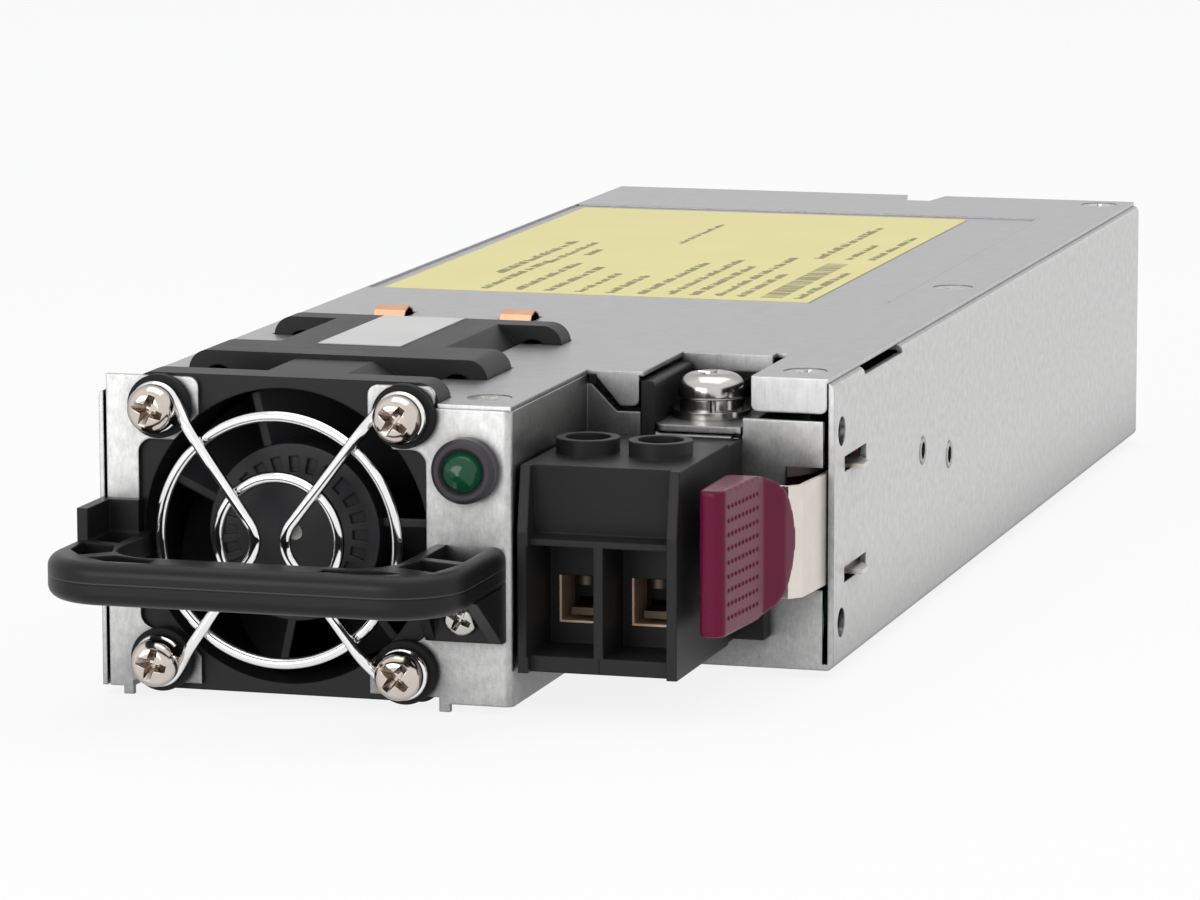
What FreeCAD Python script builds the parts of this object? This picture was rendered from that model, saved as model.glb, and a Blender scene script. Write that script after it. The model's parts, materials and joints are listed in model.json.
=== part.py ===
import FreeCAD, Part
import math
import os
import re
import Sketcher
from FreeCAD import Placement, Rotation, Vector

os.makedirs("parts", exist_ok=True)
doc = FreeCAD.newDocument("HotSwapSupply")
sheet = doc.addObject("Spreadsheet::Sheet", "Sizes")

# Places are measured from the left wall, the front plane and the underside of the case.
sizes = {
    # case
    "width": 86.4, "length": 233, "height": 37.5, "sheetThick": 0.8, "coverThick": 0.6,
    "seam": 0.4, "stepAcross": 53.85, "recessDepth": 32.9, "bendRadius": 1, "lipUp": 8,
    "openingLeft": 5.2, "openingRight": 42.9, "openingHigh": 31.6, "openingLow": 7.6,
    "openingRound": 1.8, "earSlant": 3.3, "earLeftEnd": 13.2, "earRightStart": 35.4, "earRightEnd": 44,
    "lowEarRightEnd": 45.8, "earTop": 39.55, "earDrop": 1, "notchWide": 1.8, "notchUp": 0.4,
    "panelInset": 1.5, "panelTop": 32, "panelSlopeLow": 57.8, "panelSlopeEnd": 60.7,
    "latchWindowInset": 6.4, "latchWindowLow": 10.3, "latchWindowHigh": 26.1,
    "flangeWide": 8.4, "wallGapStart": 49, "wallGapEnd": 70, "wallGapDeep": 1.1,
    "ventWide": 4, "ventPitch": 6.5, "ventLow": 14, "ventHigh": 31, "edgeSlotLow": 3.2,
    "edgeSlotHigh": 7.4, "lugLeft": 62.95, "lugRight": 74.3, "lugFront": 32.4, "lugBack": 47,
    "lugThick": 0.85, "lugAcross": 68, "lugDeep": 41.5, "lugRound": 1, "shelfUp": 30.05,
    "tallPanelLeft": 74.4, "reliefAcross": 73.6, "reliefUp": 29.4, "reliefRadius": 0.75,
    "wallHoleRadius": 1.9, "wallHoleDeep": 36.8, "wallHoleHigh": 30.3, "wallHoleLow": 5.6,
    "earRound": 1.3,
    # cover
    "fanCutLeft": 4.1, "fanCutRight": 44.4, "fanNeckLeft": 9.9, "fanNeckRight": 38.8,
    "groundNotchLeft": 61.3, "groundNotchRight": 75.5, "groundNotchBack": 51.6,
    "groundLipDeep": 2.3, "reliefWide": 2, "tabThick": 0.6, "tabLeft": 55.15,
    "tabLow": 33, "tabSlopeHigh": 36.6, "tabRound": 0.9, "pressedStart": 102,
    "pressedEnd": 207, "pressedRight": 75.8, "pressedLeft": 1, "pressedDeep": 0.25,
    "backNotchLeft": 48.7, "backNotchRight": 54.9, "backNotchDeep": 7,
    "backNotchSlope": 1, "springSlotGap": 0.3,
    # fan module
    "fanAcross": 24.3, "fanUp": 19.9, "fanSize": 40, "fanPitch": 32, "fanCorner": 2.6,
    "ductRadius": 18.6, "ductWall": 0.85, "frontFlange": 5, "frontLong": 25.2,
    "midFlange": 5.2, "rearLong": 31.8, "rearFlange": 4.3, "rearChamfer": 8.8,
    "motorRadius": 11, "motorBase": 3, "tubeRadius": 3, "tubeLong": 10, "sleeveRadius": 2.1,
    "shaftRadius": 1, "runningGap": 0.04, "strutThick": 1.8, "hubRadius": 11.2,
    "hubLong": 15.4, "hubWall": 1.1, "hubStandOff": 3.2, "tipGap": 0.5, "bladeThick": 1.1,
    "bladeStart": 1.6, "bladeEnd": 13.6, "rootSweep": 4, "tipSweep": 6.2, "magnetThick": 0.8,
    "coilRadius": 8.4, "coilLong": 7, "mountHole": 2.15, "ribStart": 7.6, "ribEnd": 9.6,
    "ribHollow": 0.6, "hollowHalfIn": 0.55, "hollowHalfOut": 0.7,
    # finger guard and its screws
    "wireRadius": 0.72, "outerRing": 15.5, "innerRing": 7.9, "eyeRadius": 2.62,
    "apexInset": 2.5, "apexRightInset": 1.4, "wireTouch": 0.02,
    "apexBend": 4, "eyeTurn": 285, "liftRadius": 6, "ringFront": 2.1,
    "screwHead": 3.05, "screwHeadTall": 2.35, "screwFront": 5.3, "screwShank": 1.75,
    "screwLong": 10.8, "headRound": 1.7, "bushRadius": 4, "bushThick": 1.36, "bushHole": 1.8,
    # status light
    "lightAcross": 48.2, "lightUp": 29.5, "bezelRadius": 4.05, "bezelProud": 2.5,
    "barrelRadius": 3.4, "barrelLong": 7, "lensRadius": 2.6, "lensProud": 4.1,
    # handle
    "barLow": 14.6, "barHigh": 20, "handleLeft": -0.5, "handleFront": 24, "handleRight": 53.1,
    "barDeep": 5.4, "handleCorner": 9, "barRound": 1.6, "gripLeft": 7.4, "gripRight": 44.2, "gripCorner": 6,
    "lugArmHigh": 24, "skirtLow": 8.2, "skirtThick": 1.6, "handleScrewAcross": 48,
    "handleScrewUp": 11.4, "handleScrewHead": 2.3, "handleScrewTall": 1.7,
    "handleScrewRound": 1.2, "handleScrewShank": 1.25, "handleScrewLong": 4, "pocketDeep": 3.6, "pocketLeft": 45.5,
    "pocketRight": 51.2,
    "footThick": 1.6,
    # terminal block
    "plugLeft": 54.4, "plugWide": 20.3, "plugFront": 2, "plugBack": 24.8, "plugLow": 4.3,
    "plugTop": 30, "plugShelf": 20.9, "shelfDeep": 2.2, "plugUpperFront": 3,
    "keyOffset": 0.2, "keyHalf": 1.35, "keyFront": 7.7, "keyWide": 0.6,
    "flankFront": 0.6, "flankThick": 1.3, "poleAcross": 59.6, "polePitch": 9.4,
    "entryWide": 8.2, "entryLow": 6.3, "entryHigh": 20.1, "entryDeep": 11, "entryWall": 0.8,
    "chamberLow": 7.8, "chamberBack": 18, "collarRadius": 4, "collarTall": 2,
    "collarDeep": 13.8, "collarBore": 2.9, "cageWall": 1.1, "cageGap": 0.05, "cageTall": 8.2,
    "cageFront": 11.85, "cageLong": 6, "cageHole": 1.75, "clampHead": 2.7, "clampShank": 1.7,
    "clampReach": 1.4, "clampTop": 28.4, "clampHeadTall": 2.2, "headerGap": 0.1, "headerFlangeRight": 78,
    "headerFlangeThick": 2.9, "headerFlangeHigh": 8, "headerTop": 29.4, "pinWide": 4,
    "pinThick": 1, "pinUp": 9.5, "pinFront": 13, "pinBack": 42, "pinGap": 0.4,
    # ground screw
    "flatWasher": 5.1, "flatWasherThick": 1, "splitWasher": 4.1, "splitWasherThick": 1.4,
    "groundHead": 4.35, "groundHeadTall": 3.2, "groundHeadRound": 2.1, "groundShank": 1.95,
    "groundLong": 5.8, "groundNut": 3.6, "groundNutTall": 1.6, "washerBore": 2.1,
    # latch
    "latchThick": 0.55, "latchGap": 0.15, "latchLow": 11.2, "latchHigh": 25.5,
    "latchTail": 103, "barbCatch": 41, "barbFlat": 3, "barbRamp": 6, "barbOut": 2.75,
    "barbThick": 0.6, "barbWindowGap": 0.7, "eyeletFront": 82.2, "eyeletBack": 98.2,
    "eyeletFrontUp": 20.8, "eyeletBackUp": 17.8, "eyeletBore": 1.15, "eyeletLip": 2.5,
    "eyeletGap": 0.05, "eyeletThick": 0.55, "padLow": 9.8, "padHigh": 28, "padFront": 1, "padThick": 3.2,
    "padInset": 6, "padStraight": 15.4, "padReach": 22, "padRound": 1.2,
    # springs, labels, fasteners
    "springPitch": 18, "springLeft": 11.3, "springWide": 4.4, "springStart": 73.5,
    "springLong": 5.5, "springTop": 38.75, "springThick": 0.22, "springFoot": 1.6,
    "labelLeft": 3, "labelRight": 65, "labelStart": 103.5, "labelEnd": 204,
    "labelThick": 0.12, "fanLabelLeft": 18.6, "fanLabelRight": 29.8, "fanLabelStart": 30,
    "coverScrewHead": 2.75, "coverScrewShank": 1.2, "coverScrewLong": 4,
    "insulatorLeft": 61, "insulatorRight": 62.8, "insulatorBack": 51, "insulatorLow": 29,
    "insulatorHigh": 36.3, "insulatorRound": 0.5,
    # inside
    "boardUp": 4.2, "boardThick": 1.6, "boardGap": 1.2, "boardStart": 60, "standRadius": 2.6,
    "fingerWide": 46, "fingerPitch": 2.4, "fingerLong": 9, "fingerThick": 0.1,
    "capRadius": 9.5, "capTall": 28, "smallCapRadius": 4, "smallCapTall": 14,
    "coreLong": 30, "coreWide": 26, "coreTall": 24, "windingRadius": 9, "sinkLong": 70,
    "sinkTall": 26, "sinkBase": 2, "finThick": 1.2, "finPitch": 5, "finLong": 7,
}
for row, (name, number) in enumerate(sizes.items(), start=1):
    sheet.set("A%d" % row, name)
    sheet.set("B%d" % row, str(number))
    sheet.setAlias("B%d" % row, name)
doc.recompute()

nodes = []


def bound(text):
    """Expression text with every size name pointed at the sheet."""
    return re.sub(r"[A-Za-z]+", lambda w: "Sizes." + w[0] if w[0] in sizes else w[0], str(text))


def value(text):
    """Present value of an expression on the sheet."""
    return float(sheet.evalExpression(bound(text)))


def place(thing, label, across="0", deep="0", up="0", fromBack=False, turn=0):
    """Labels a sub-part and ties its place to the case."""
    thing.Label = label
    thing.Placement = Placement(Vector(0, 0, 0), Rotation(Vector(0, 0, 1), turn))
    along = "length / 2 - (%s)" if fromBack else "(%s) - length / 2"
    thing.setExpression("Placement.Base.x", bound("(%s) - width / 2" % across))
    thing.setExpression("Placement.Base.y", bound(along % deep))
    thing.setExpression("Placement.Base.z", bound(up))
    nodes.append(thing)
    return thing


def newBody(name):
    body = doc.addObject("PartDesign::Body", name)
    body.AllowCompound = True
    return body


def originPart(body, role):
    return [part for part in body.Origin.OriginFeatures if part.Role == role][0]


def pin(sketch, geometry, point, across, up):
    """Ties a sketch point to two size expressions."""
    for kind, text in (("DistanceX", across), ("DistanceY", up)):
        rule = sketch.addConstraint(Sketcher.Constraint(kind, -1, 1, geometry, point, value(text)))
        sketch.setExpression("Constraints[%d]" % rule, bound(text))


def trace(sketch, loop):
    """Draws one closed loop: a list of corners, or ("round", across, up, radius)."""
    first = sketch.GeometryCount
    if loop[0] == "round":
        across, up, radius = loop[1:]
        centre = Vector(value(across), value(up), 0)
        sketch.addGeometry(Part.Circle(centre, Vector(0, 0, 1), value(radius)))
        pin(sketch, first, 3, across, up)
        rule = sketch.addConstraint(Sketcher.Constraint("Radius", first, value(radius)))
        sketch.setExpression("Constraints[%d]" % rule, bound(radius))
        return
    spots = [Vector(value(a), value(b), 0) for a, b in loop]
    count = len(spots)
    for n in range(count):
        sketch.addGeometry(Part.LineSegment(spots[n], spots[(n + 1) % count]))
    for n in range(count):
        after = first + (n + 1) % count
        sketch.addConstraint(Sketcher.Constraint("Coincident", first + n, 2, after, 1))
    for n, (a, b) in enumerate(loop):
        pin(sketch, first + n, 1, a, b)


def draw(body, name, role, loops, start="0"):
    """Sketch on an origin plane of its body, moved along +X, +Y or +Z to start."""
    sketch = body.newObject("Sketcher::SketchObject", name + "Outline")
    sketch.AttachmentSupport = (originPart(body, role), [""])
    sketch.MapMode = "FlatFace"
    away = "-(%s)" if role == "XZ_Plane" else "%s"
    sketch.setExpression("AttachmentOffset.Base.z", bound(away % start))
    for loop in loops:
        trace(sketch, loop)
    return sketch


def prism(body, name, role, loops, start, depth, cut=False):
    """Pads or pockets loops towards +X, +Y or +Z from start."""
    sketch = draw(body, name, role, loops, start)
    step = body.newObject("PartDesign::Pocket" if cut else "PartDesign::Pad", name)
    step.Profile = sketch
    step.setExpression("Length", bound(depth))
    step.Reversed = (role == "XZ_Plane") != cut
    sketch.Visibility = False
    return step


def carve(body, name, role, loops, start, depth):
    """A pocket that must take material away."""
    doc.recompute()
    before = body.Tip.Shape.Volume
    step = prism(body, name, role, loops, start, depth, cut=True)
    doc.recompute()
    if not step.Shape.Volume < before - 1e-4:
        raise ValueError("%s removes nothing" % name)
    return step


def turned(body, name, role, loop):
    """Revolves a profile about the vertical axis of its sketch."""
    sketch = draw(body, name, role, [loop])
    step = body.newObject("PartDesign::Revolution", name)
    step.Profile = sketch
    step.ReferenceAxis = (sketch, ["V_Axis"])
    step.Angle = 360
    return step


def repeat(body, name, feature, role, count, length=None):
    """Polar pattern about an origin axis, or linear along it when a length is given."""
    kind = "PartDesign::PolarPattern" if length is None else "PartDesign::LinearPattern"
    step = body.newObject(kind, name)
    step.Originals = feature if isinstance(feature, list) else [feature]
    if length is None:
        step.Axis = (originPart(body, role), [""])
        step.Angle = 360
    else:
        step.Direction = (originPart(body, role), [""])
        step.setExpression("Length", bound(length))
    step.Occurrences = count
    body.Tip = step
    return step


def straightEdges(shape, spots):
    """Names of straight edges along an axis through the given places of the other two."""
    names = []
    for n, edge in enumerate(shape.Edges):
        ends = [v.Point for v in edge.Vertexes]
        if len(ends) != 2 or not isinstance(edge.Curve, Part.Line):
            continue
        for axis, a, b in spots:
            keep = [k for k in range(3) if k != "xyz".index(axis)]
            near = all(abs(p[keep[0]] - value(a)) + abs(p[keep[1]] - value(b)) < 0.02 for p in ends)
            if near:
                names.append("Edge%d" % (n + 1))
    return sorted(set(names))


def soften(body, name, radius, spots, kind="Fillet"):
    """Rounds or chamfers straight edges found by their place."""
    doc.recompute()
    base = body.Tip
    names = straightEdges(base.Shape, spots)
    if not names:
        raise ValueError("%s finds no edge" % name)
    step = body.newObject("PartDesign::" + kind, name)
    step.Base = (base, names)
    step.setExpression("Radius" if kind == "Fillet" else "Size", bound(radius))
    return step


def roundRims(body, name, radius, ring, axis, at):
    """Rounds the circular edges of one radius that lie at one place along an axis."""
    doc.recompute()
    base = body.Tip
    names = []
    for n, edge in enumerate(base.Shape.Edges):
        if isinstance(edge.Curve, Part.Circle) and abs(edge.Curve.Radius - value(ring)) < 0.01:
            if abs(edge.Curve.Center["xyz".index(axis)] - value(at)) < 0.01:
                names.append("Edge%d" % (n + 1))
    if not names:
        raise ValueError("%s finds no rim" % name)
    step = body.newObject("PartDesign::Fillet", name)
    step.Base = (base, names)
    step.setExpression("Radius", bound(radius))
    return step


def rect(left, right, low, high):
    return [(left, low), (right, low), (right, high), (left, high)]


wallTop = "height - coverThick"
coverScrewSpots = [("stepAcross - 4.85", "6.7"), ("width - 5.4", "recessDepth + 6.2"),
                   ("width - 5.4", "123.9"), ("width - 5.4", "length - 5")]
caseLeft = "coverThick + seam"
fanBottomCut = [
    ("fanCutLeft", "-1"), ("fanCutLeft", "6"), ("fanNeckLeft", "6"), ("fanNeckLeft", "20.4"),
    ("fanCutLeft", "20.4"), ("fanCutLeft", "32"), ("fanNeckLeft", "32"), ("fanNeckLeft", "53"),
    ("fanCutLeft", "53"), ("fanCutLeft", "58.2"), ("fanCutRight", "58.2"), ("fanCutRight", "53"),
    ("fanNeckRight", "53"), ("fanNeckRight", "32"), ("fanCutRight", "32"),
    ("fanCutRight", "20.4"), ("fanNeckRight", "20.4"), ("fanNeckRight", "6"),
    ("fanCutRight", "6"), ("fanCutRight", "-1"),
]


def makeChassis():
    """Tray: floor, right wall with its top flange, front plate, step wall, recessed and rear panels."""
    body = newBody("ChassisBody")
    floor = [(caseLeft, "0"), ("stepAcross", "0"), ("stepAcross", "recessDepth"),
             ("width", "recessDepth"), ("width", "length"), (caseLeft, "length")]
    prism(body, "Floor", "XY_Plane", [floor], "0", "sheetThick")
    prism(body, "RightWall", "YZ_Plane", [rect("recessDepth", "length", "0", wallTop)],
          "width - sheetThick", "sheetThick")
    prism(body, "TopFlange", "XY_Plane",
          [rect("width - flangeWide", "width", "recessDepth + 0.8", "length")],
          wallTop + " - sheetThick", "sheetThick")
    prism(body, "LeftLip", "YZ_Plane", [rect("0", "length", "0", "lipUp")], caseLeft, "sheetThick")
    front = [(caseLeft, "notchUp"), (caseLeft + " + notchWide", "notchUp"),
             (caseLeft + " + notchWide", "-earDrop"), ("earLeftEnd", "-earDrop"),
             ("earLeftEnd", "openingLow - earSlant"), ("earLeftEnd - earSlant", "openingLow"),
             ("openingLeft", "openingLow"), ("openingLeft", "openingHigh"),
             ("earLeftEnd - earSlant", "openingHigh"), ("earLeftEnd", "openingHigh + earSlant"),
             ("earLeftEnd", "earTop"), (caseLeft, "earTop")]
    front2 = [("lowEarRightEnd", "0"), ("stepAcross", "0"), ("stepAcross", wallTop),
              ("earRightEnd", wallTop), ("earRightEnd", "earTop"), ("earRightStart", "earTop"),
              ("earRightStart", "openingHigh + earSlant"), ("earRightStart + earSlant", "openingHigh"),
              ("openingRight", "openingHigh"), ("openingRight", "openingLow"),
              ("earRightStart + earSlant", "openingLow"), ("earRightStart", "openingLow - earSlant"),
              ("earRightStart", "-earDrop"), ("lowEarRightEnd", "-earDrop")]
    prism(body, "FrontPlate", "XZ_Plane", [front, front2], "0", "sheetThick")
    soften(body, "OpeningCorners", "openingRound", [
        ("y", "openingLeft", "openingHigh"), ("y", "openingLeft", "openingLow"),
        ("y", "openingRight", "openingHigh"), ("y", "openingRight", "openingLow")])
    soften(body, "EarCorners", "earRound", [
        ("y", "earLeftEnd", "earTop"), ("y", "earRightStart", "earTop"), ("y", "earRightEnd", "earTop")])
    soften(body, "LowEarCorners", "earDrop - 0.2", [
        ("y", "earLeftEnd", "-earDrop"), ("y", "earRightStart", "-earDrop")])
    prism(body, "StepWall", "YZ_Plane", [rect("0", "recessDepth + sheetThick", "0", wallTop)],
          "stepAcross - sheetThick", "sheetThick")
    prism(body, "FrontFlange", "XY_Plane",
          [rect("earRightEnd + 1", "stepAcross", "0", "14")], wallTop + " - sheetThick", "sheetThick")
    panel = [("stepAcross - sheetThick", "0"), ("width - panelInset", "0"),
             ("width - panelInset", "latchWindowLow"), ("width - latchWindowInset", "latchWindowLow"),
             ("width - latchWindowInset", "latchWindowHigh"), ("width - panelInset", "latchWindowHigh"),
             ("width - panelInset", "panelTop"), ("tallPanelLeft", "panelTop"),
             ("tallPanelLeft", "shelfUp"), ("insulatorRight + 0.1", "shelfUp"),
             ("insulatorRight + 0.1", "insulatorLow"), ("insulatorLeft - 0.1", "insulatorLow"),
             ("insulatorLeft - 0.1", "panelTop + 0.3"), ("panelSlopeLow", "panelTop + 0.3"),
             ("stepAcross + 0.6", "panelTop + 3.7"), ("stepAcross - sheetThick", "panelTop + 3.7")]
    prism(body, "RecessPanel", "XZ_Plane", [panel], "recessDepth", "sheetThick")
    prism(body, "RearPanel", "XZ_Plane", [rect(caseLeft, "width", "0", wallTop + " - sheetThick")],
          "length - sheetThick", "sheetThick")
    prism(body, "Shelf", "XY_Plane", [rect("insulatorRight + 0.1", "reliefAcross", "recessDepth", "lugBack")],
          "shelfUp - sheetThick", "sheetThick")
    soften(body, "ShelfBend", "sheetThick - 0.1", [("x", "recessDepth", "shelfUp")])
    prism(body, "GroundLug", "XY_Plane", [rect("lugLeft", "lugRight", "lugFront", "lugBack")],
          "shelfUp", "lugThick")
    soften(body, "LugCorners", "lugRound", [("z", "lugLeft", "lugFront"), ("z", "lugRight", "lugFront")])
    carve(body, "FloorFanCut", "XY_Plane", [fanBottomCut], "-2", "2 + sheetThick")
    # holes for fan screws, status light and handle screw through the front plate
    rounds = [("round", "fanAcross %s fanPitch / 2" % a, "fanUp %s fanPitch / 2" % b, "mountHole")
              for a in "+-" for b in "+-"]
    rounds.append(("round", "lightAcross", "lightUp", "barrelRadius + 0.05"))
    rounds.append(("round", "handleScrewAcross", "handleScrewUp", "handleScrewShank + 0.05"))
    carve(body, "FrontHoles", "XZ_Plane", rounds, "-1", "2 + sheetThick")
    carve(body, "PanelHoles", "XZ_Plane",
          [rect("plugLeft + 2.4", "plugLeft + plugWide - 2.4", "6", "27"),
           ("round", "reliefAcross", "reliefUp", "reliefRadius")], "recessDepth - 0.5", "1 + sheetThick")
    carve(body, "RearVents", "XZ_Plane",
          [rect("6 + %d * ventPitch" % n, "6 + ventWide + %d * ventPitch" % n, "ventLow", "ventHigh")
           for n in range(12)]
          + [rect("width / 2 - fingerWide / 2 - 1", "width / 2 + fingerWide / 2 + 1",
                  "edgeSlotLow", "edgeSlotHigh")], "length - 2", "3")
    holes = [("round", "eyeletFront", "eyeletFrontUp", "wallHoleRadius"),
             ("round", "eyeletBack", "eyeletBackUp", "wallHoleRadius"),
             ("round", "wallHoleDeep", "wallHoleHigh", "wallHoleRadius"),
             ("round", "wallHoleDeep", "wallHoleLow", "wallHoleRadius")]
    for low in ("latchLow - barbThick - 0.1", "latchHigh - 0.7"):
        holes.append(rect("barbCatch - 2.7", "barbCatch + barbFlat + barbRamp",
                          low, low + " + barbThick + 2 * barbWindowGap"))
    carve(body, "WallHoles", "YZ_Plane", holes, "width - 3", "4")
    carve(body, "WallGap", "YZ_Plane",
          [rect("wallGapStart", "wallGapEnd", wallTop + " - wallGapDeep", wallTop + " + 1")],
          "width - flangeWide - 1", "flangeWide + 3")
    carve(body, "ScrewHoles", "XY_Plane",
          [("round", a, b, "coverScrewShank + 0.05") for a, b in coverScrewSpots],
          wallTop + " - 2", "3")
    carve(body, "LugHole", "XY_Plane", [("round", "lugAcross", "lugDeep", "groundShank + 0.05")],
          "shelfUp - 2", "4")
    soften(body, "Bends", "bendRadius", [
        ("z", "stepAcross", "0"), ("y", "width", wallTop), ("y", "width", "0")])
    return place(body, "chassis")


def makeCover():
    """Top sheet and left wall with the fan cut-out, ground notch, tabs and pressed field."""
    body = newBody("CoverBody")
    top = [("0", "sheetThick + 0.1"), ("fanCutLeft", "sheetThick + 0.1")] + fanBottomCut[1:-1] + [
        ("fanCutRight", "0"), ("stepAcross", "0"), ("stepAcross", "recessDepth"),
        ("groundNotchLeft", "recessDepth"), ("groundNotchLeft", "groundNotchBack"),
        ("groundNotchRight - reliefWide", "groundNotchBack"),
        ("groundNotchRight - reliefWide", "groundNotchBack + 2"),
        ("groundNotchRight", "groundNotchBack + 2"), ("groundNotchRight", "recessDepth"),
        ("width - sheetThick", "recessDepth"), ("width - sheetThick", "length"),
        ("backNotchRight", "length"), ("backNotchRight - backNotchSlope", "length - backNotchDeep"),
        ("backNotchLeft + backNotchSlope", "length - backNotchDeep"), ("backNotchLeft", "length"),
        ("0", "length")]
    prism(body, "Top", "XY_Plane", [top], wallTop, "coverThick")
    prism(body, "LeftWall", "YZ_Plane", [rect("0", "length", "0", "height")], "0", "coverThick")
    prism(body, "LeftTab", "XZ_Plane", [[
        ("tabLeft", "height"), ("tabLeft", "tabSlopeHigh"), ("panelSlopeLow + 0.5", "tabLow"),
        ("panelSlopeEnd", "tabLow"), ("panelSlopeEnd", "height")]], "recessDepth", "tabThick")
    prism(body, "RightTab", "XZ_Plane",
          [rect("groundNotchRight", "width - sheetThick - 0.2", "tabLow", "height")],
          "recessDepth", "tabThick")
    soften(body, "TabCorners", "tabRound", [
        ("y", "panelSlopeEnd", "tabLow"), ("y", "groundNotchRight", "tabLow"),
        ("y", "width - sheetThick - 0.2", "tabLow")])
    prism(body, "NotchLip", "XZ_Plane",
          [rect("groundNotchLeft", "groundNotchRight - reliefWide", "height - groundLipDeep", "height")],
          "groundNotchBack", "tabThick")
    carve(body, "PressedField", "XY_Plane",
          [rect("pressedLeft", "pressedRight", "pressedStart", "pressedEnd")],
          "height - pressedDeep", "pressedDeep + 1")
    slots = [rect("springLeft - springSlotGap + %d * springPitch" % n,
                  "springLeft + springWide + springSlotGap + %d * springPitch" % n,
                  "springStart - springSlotGap", "springStart + springLong + springSlotGap")
             for n in range(2)]
    carve(body, "SpringSlots", "XY_Plane", slots, wallTop + " - 1", "3")
    carve(body, "ScrewSeats", "XY_Plane",
          [("round", a, b, "coverScrewHead + 0.08") for a, b in coverScrewSpots],
          wallTop + " - 1", "3")
    soften(body, "Bend", "bendRadius - 0.1", [("y", "0", "height")])
    return place(body, "cover")


def makeFanFrame(label, front):
    """Square fan half: flanges, duct, motor base on struts and the bearing tube."""
    body = newBody(label.title().replace("_", ""))
    half = "fanSize / 2"
    square = rect("-" + half, half, "-" + half, half)
    long = "frontLong" if front else "rearLong"
    first = "frontFlange" if front else "midFlange"
    last = "midFlange" if front else "rearFlange"
    if front:
        apothem = "(ductRadius + ductWall)"
        ring = [("%.5f * %s" % (math.cos(math.radians(15 + 30 * n)) / math.cos(math.radians(15)), apothem),
                 "%.5f * %s" % (math.sin(math.radians(15 + 30 * n)) / math.cos(math.radians(15)), apothem))
                for n in range(12)]
    else:
        near = half + " - rearChamfer"
        ring = [(near, half), ("-(%s)" % near, half), ("-" + half, near), ("-" + half, "-(%s)" % near),
                ("-(%s)" % near, "-" + half), (near, "-" + half), (half, "-(%s)" % near), (half, near)]
    prism(body, "Duct", "XZ_Plane", [ring], "0", long)
    prism(body, "FirstFlange", "XZ_Plane", [square], "0", first)
    prism(body, "LastFlange", "XZ_Plane", [square], "%s - %s" % (long, last), last)
    holes = [("round", "%sfanPitch / 2" % a, "%sfanPitch / 2" % b, "mountHole")
             for a in ("", "-") for b in ("", "-")]
    carve(body, "Bore", "XZ_Plane", [("round", "0", "0", "ductRadius")] + holes, "-1", long + " + 2")
    base = "frontLong - motorBase" if front else "0"
    tube = "frontLong - motorBase - tubeLong" if front else "motorBase"
    prism(body, "MotorBase", "XZ_Plane", [("round", "0", "0", "motorRadius")], base, "motorBase")
    strut = prism(body, "Strut", "XZ_Plane",
                  [rect("-strutThick / 2", "strutThick / 2", "motorRadius - 1", "ductRadius + 0.4")],
                  base, "motorBase")
    repeat(body, "Struts", strut, "Y_Axis", 4)
    prism(body, "Tube", "XZ_Plane", [("round", "0", "0", "tubeRadius")], tube,
          "tubeLong + 0.1" if front else "tubeLong")
    carve(body, "TubeBore", "XZ_Plane", [("round", "0", "0", "sleeveRadius")],
          tube + " - 1" if front else "1", "tubeLong + 1.0 + 2" if front else "motorBase + tubeLong")
    soften(body, "Corners", "fanCorner",
           [("y", a + half, b + half) for a in ("", "-") for b in ("", "-")])
    start = "sheetThick" if front else "sheetThick + frontLong"
    return place(body, label, "fanAcross", start, "fanUp")


def makeRotor(label, front):
    """Hub cup with lofted blades, trimmed to the duct."""
    body = newBody(label.title().replace("_", ""))
    hand = 1 if front else -1
    cup = [("0", "0"), ("hubRadius", "0"), ("hubRadius", "hubLong"), ("hubRadius - hubWall", "hubLong"),
           ("hubRadius - hubWall", "hubWall"), ("2.4", "hubWall"), ("2.4", "2.8"), ("0", "2.8")]
    turned(body, "Cup", "XY_Plane", cup)
    sections = []
    for name, sweep, up in (("Root", "rootSweep", "hubRadius - hubWall + 0.3"),
                            ("Tip", "tipSweep", "ductRadius + 1")):
        lean = "%d * %s" % (hand, sweep)
        loop = [("-(%s) - bladeThick / 2" % lean, "bladeStart"),
                ("-(%s) + bladeThick / 2" % lean, "bladeStart"),
                ("%s + bladeThick / 2" % lean, "bladeEnd"), ("%s - bladeThick / 2" % lean, "bladeEnd")]
        sections.append(draw(body, name, "XY_Plane", [loop], up))
    blade = body.newObject("PartDesign::AdditiveLoft", "Blade")
    blade.Profile = sections[0]
    blade.Sections = [sections[1]]
    repeat(body, "Blades", blade, "Y_Axis", 7 if front else 5)
    carve(body, "TipTrim", "XZ_Plane", [("round", "0", "0", "ductRadius + 6"),
                                        ("round", "0", "0", "ductRadius - tipGap")], "-1", "hubLong + 2")
    carve(body, "ShaftBore", "XZ_Plane", [("round", "0", "0", "shaftRadius")], "-1", "5")
    if front:
        hollow = carve(body, "RimHollow", "XZ_Plane", [[
            ("-hollowHalfIn", "ribStart"), ("hollowHalfIn", "ribStart"), ("hollowHalfOut", "ribEnd"),
            ("-hollowHalfOut", "ribEnd")]], "-1", "1 + ribHollow")
        repeat(body, "RimHollows", hollow, "Y_Axis", 24)
    start = "sheetThick + hubStandOff" if front else "sheetThick + frontLong + rearLong - hubStandOff - 6"
    return place(body, label, "fanAcross", start, "fanUp", turn=0 if front else 180)


def shaftPlace(front):
    return ("sheetThick + hubStandOff" if front
            else "sheetThick + frontLong + rearLong - hubStandOff - 6")


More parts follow.
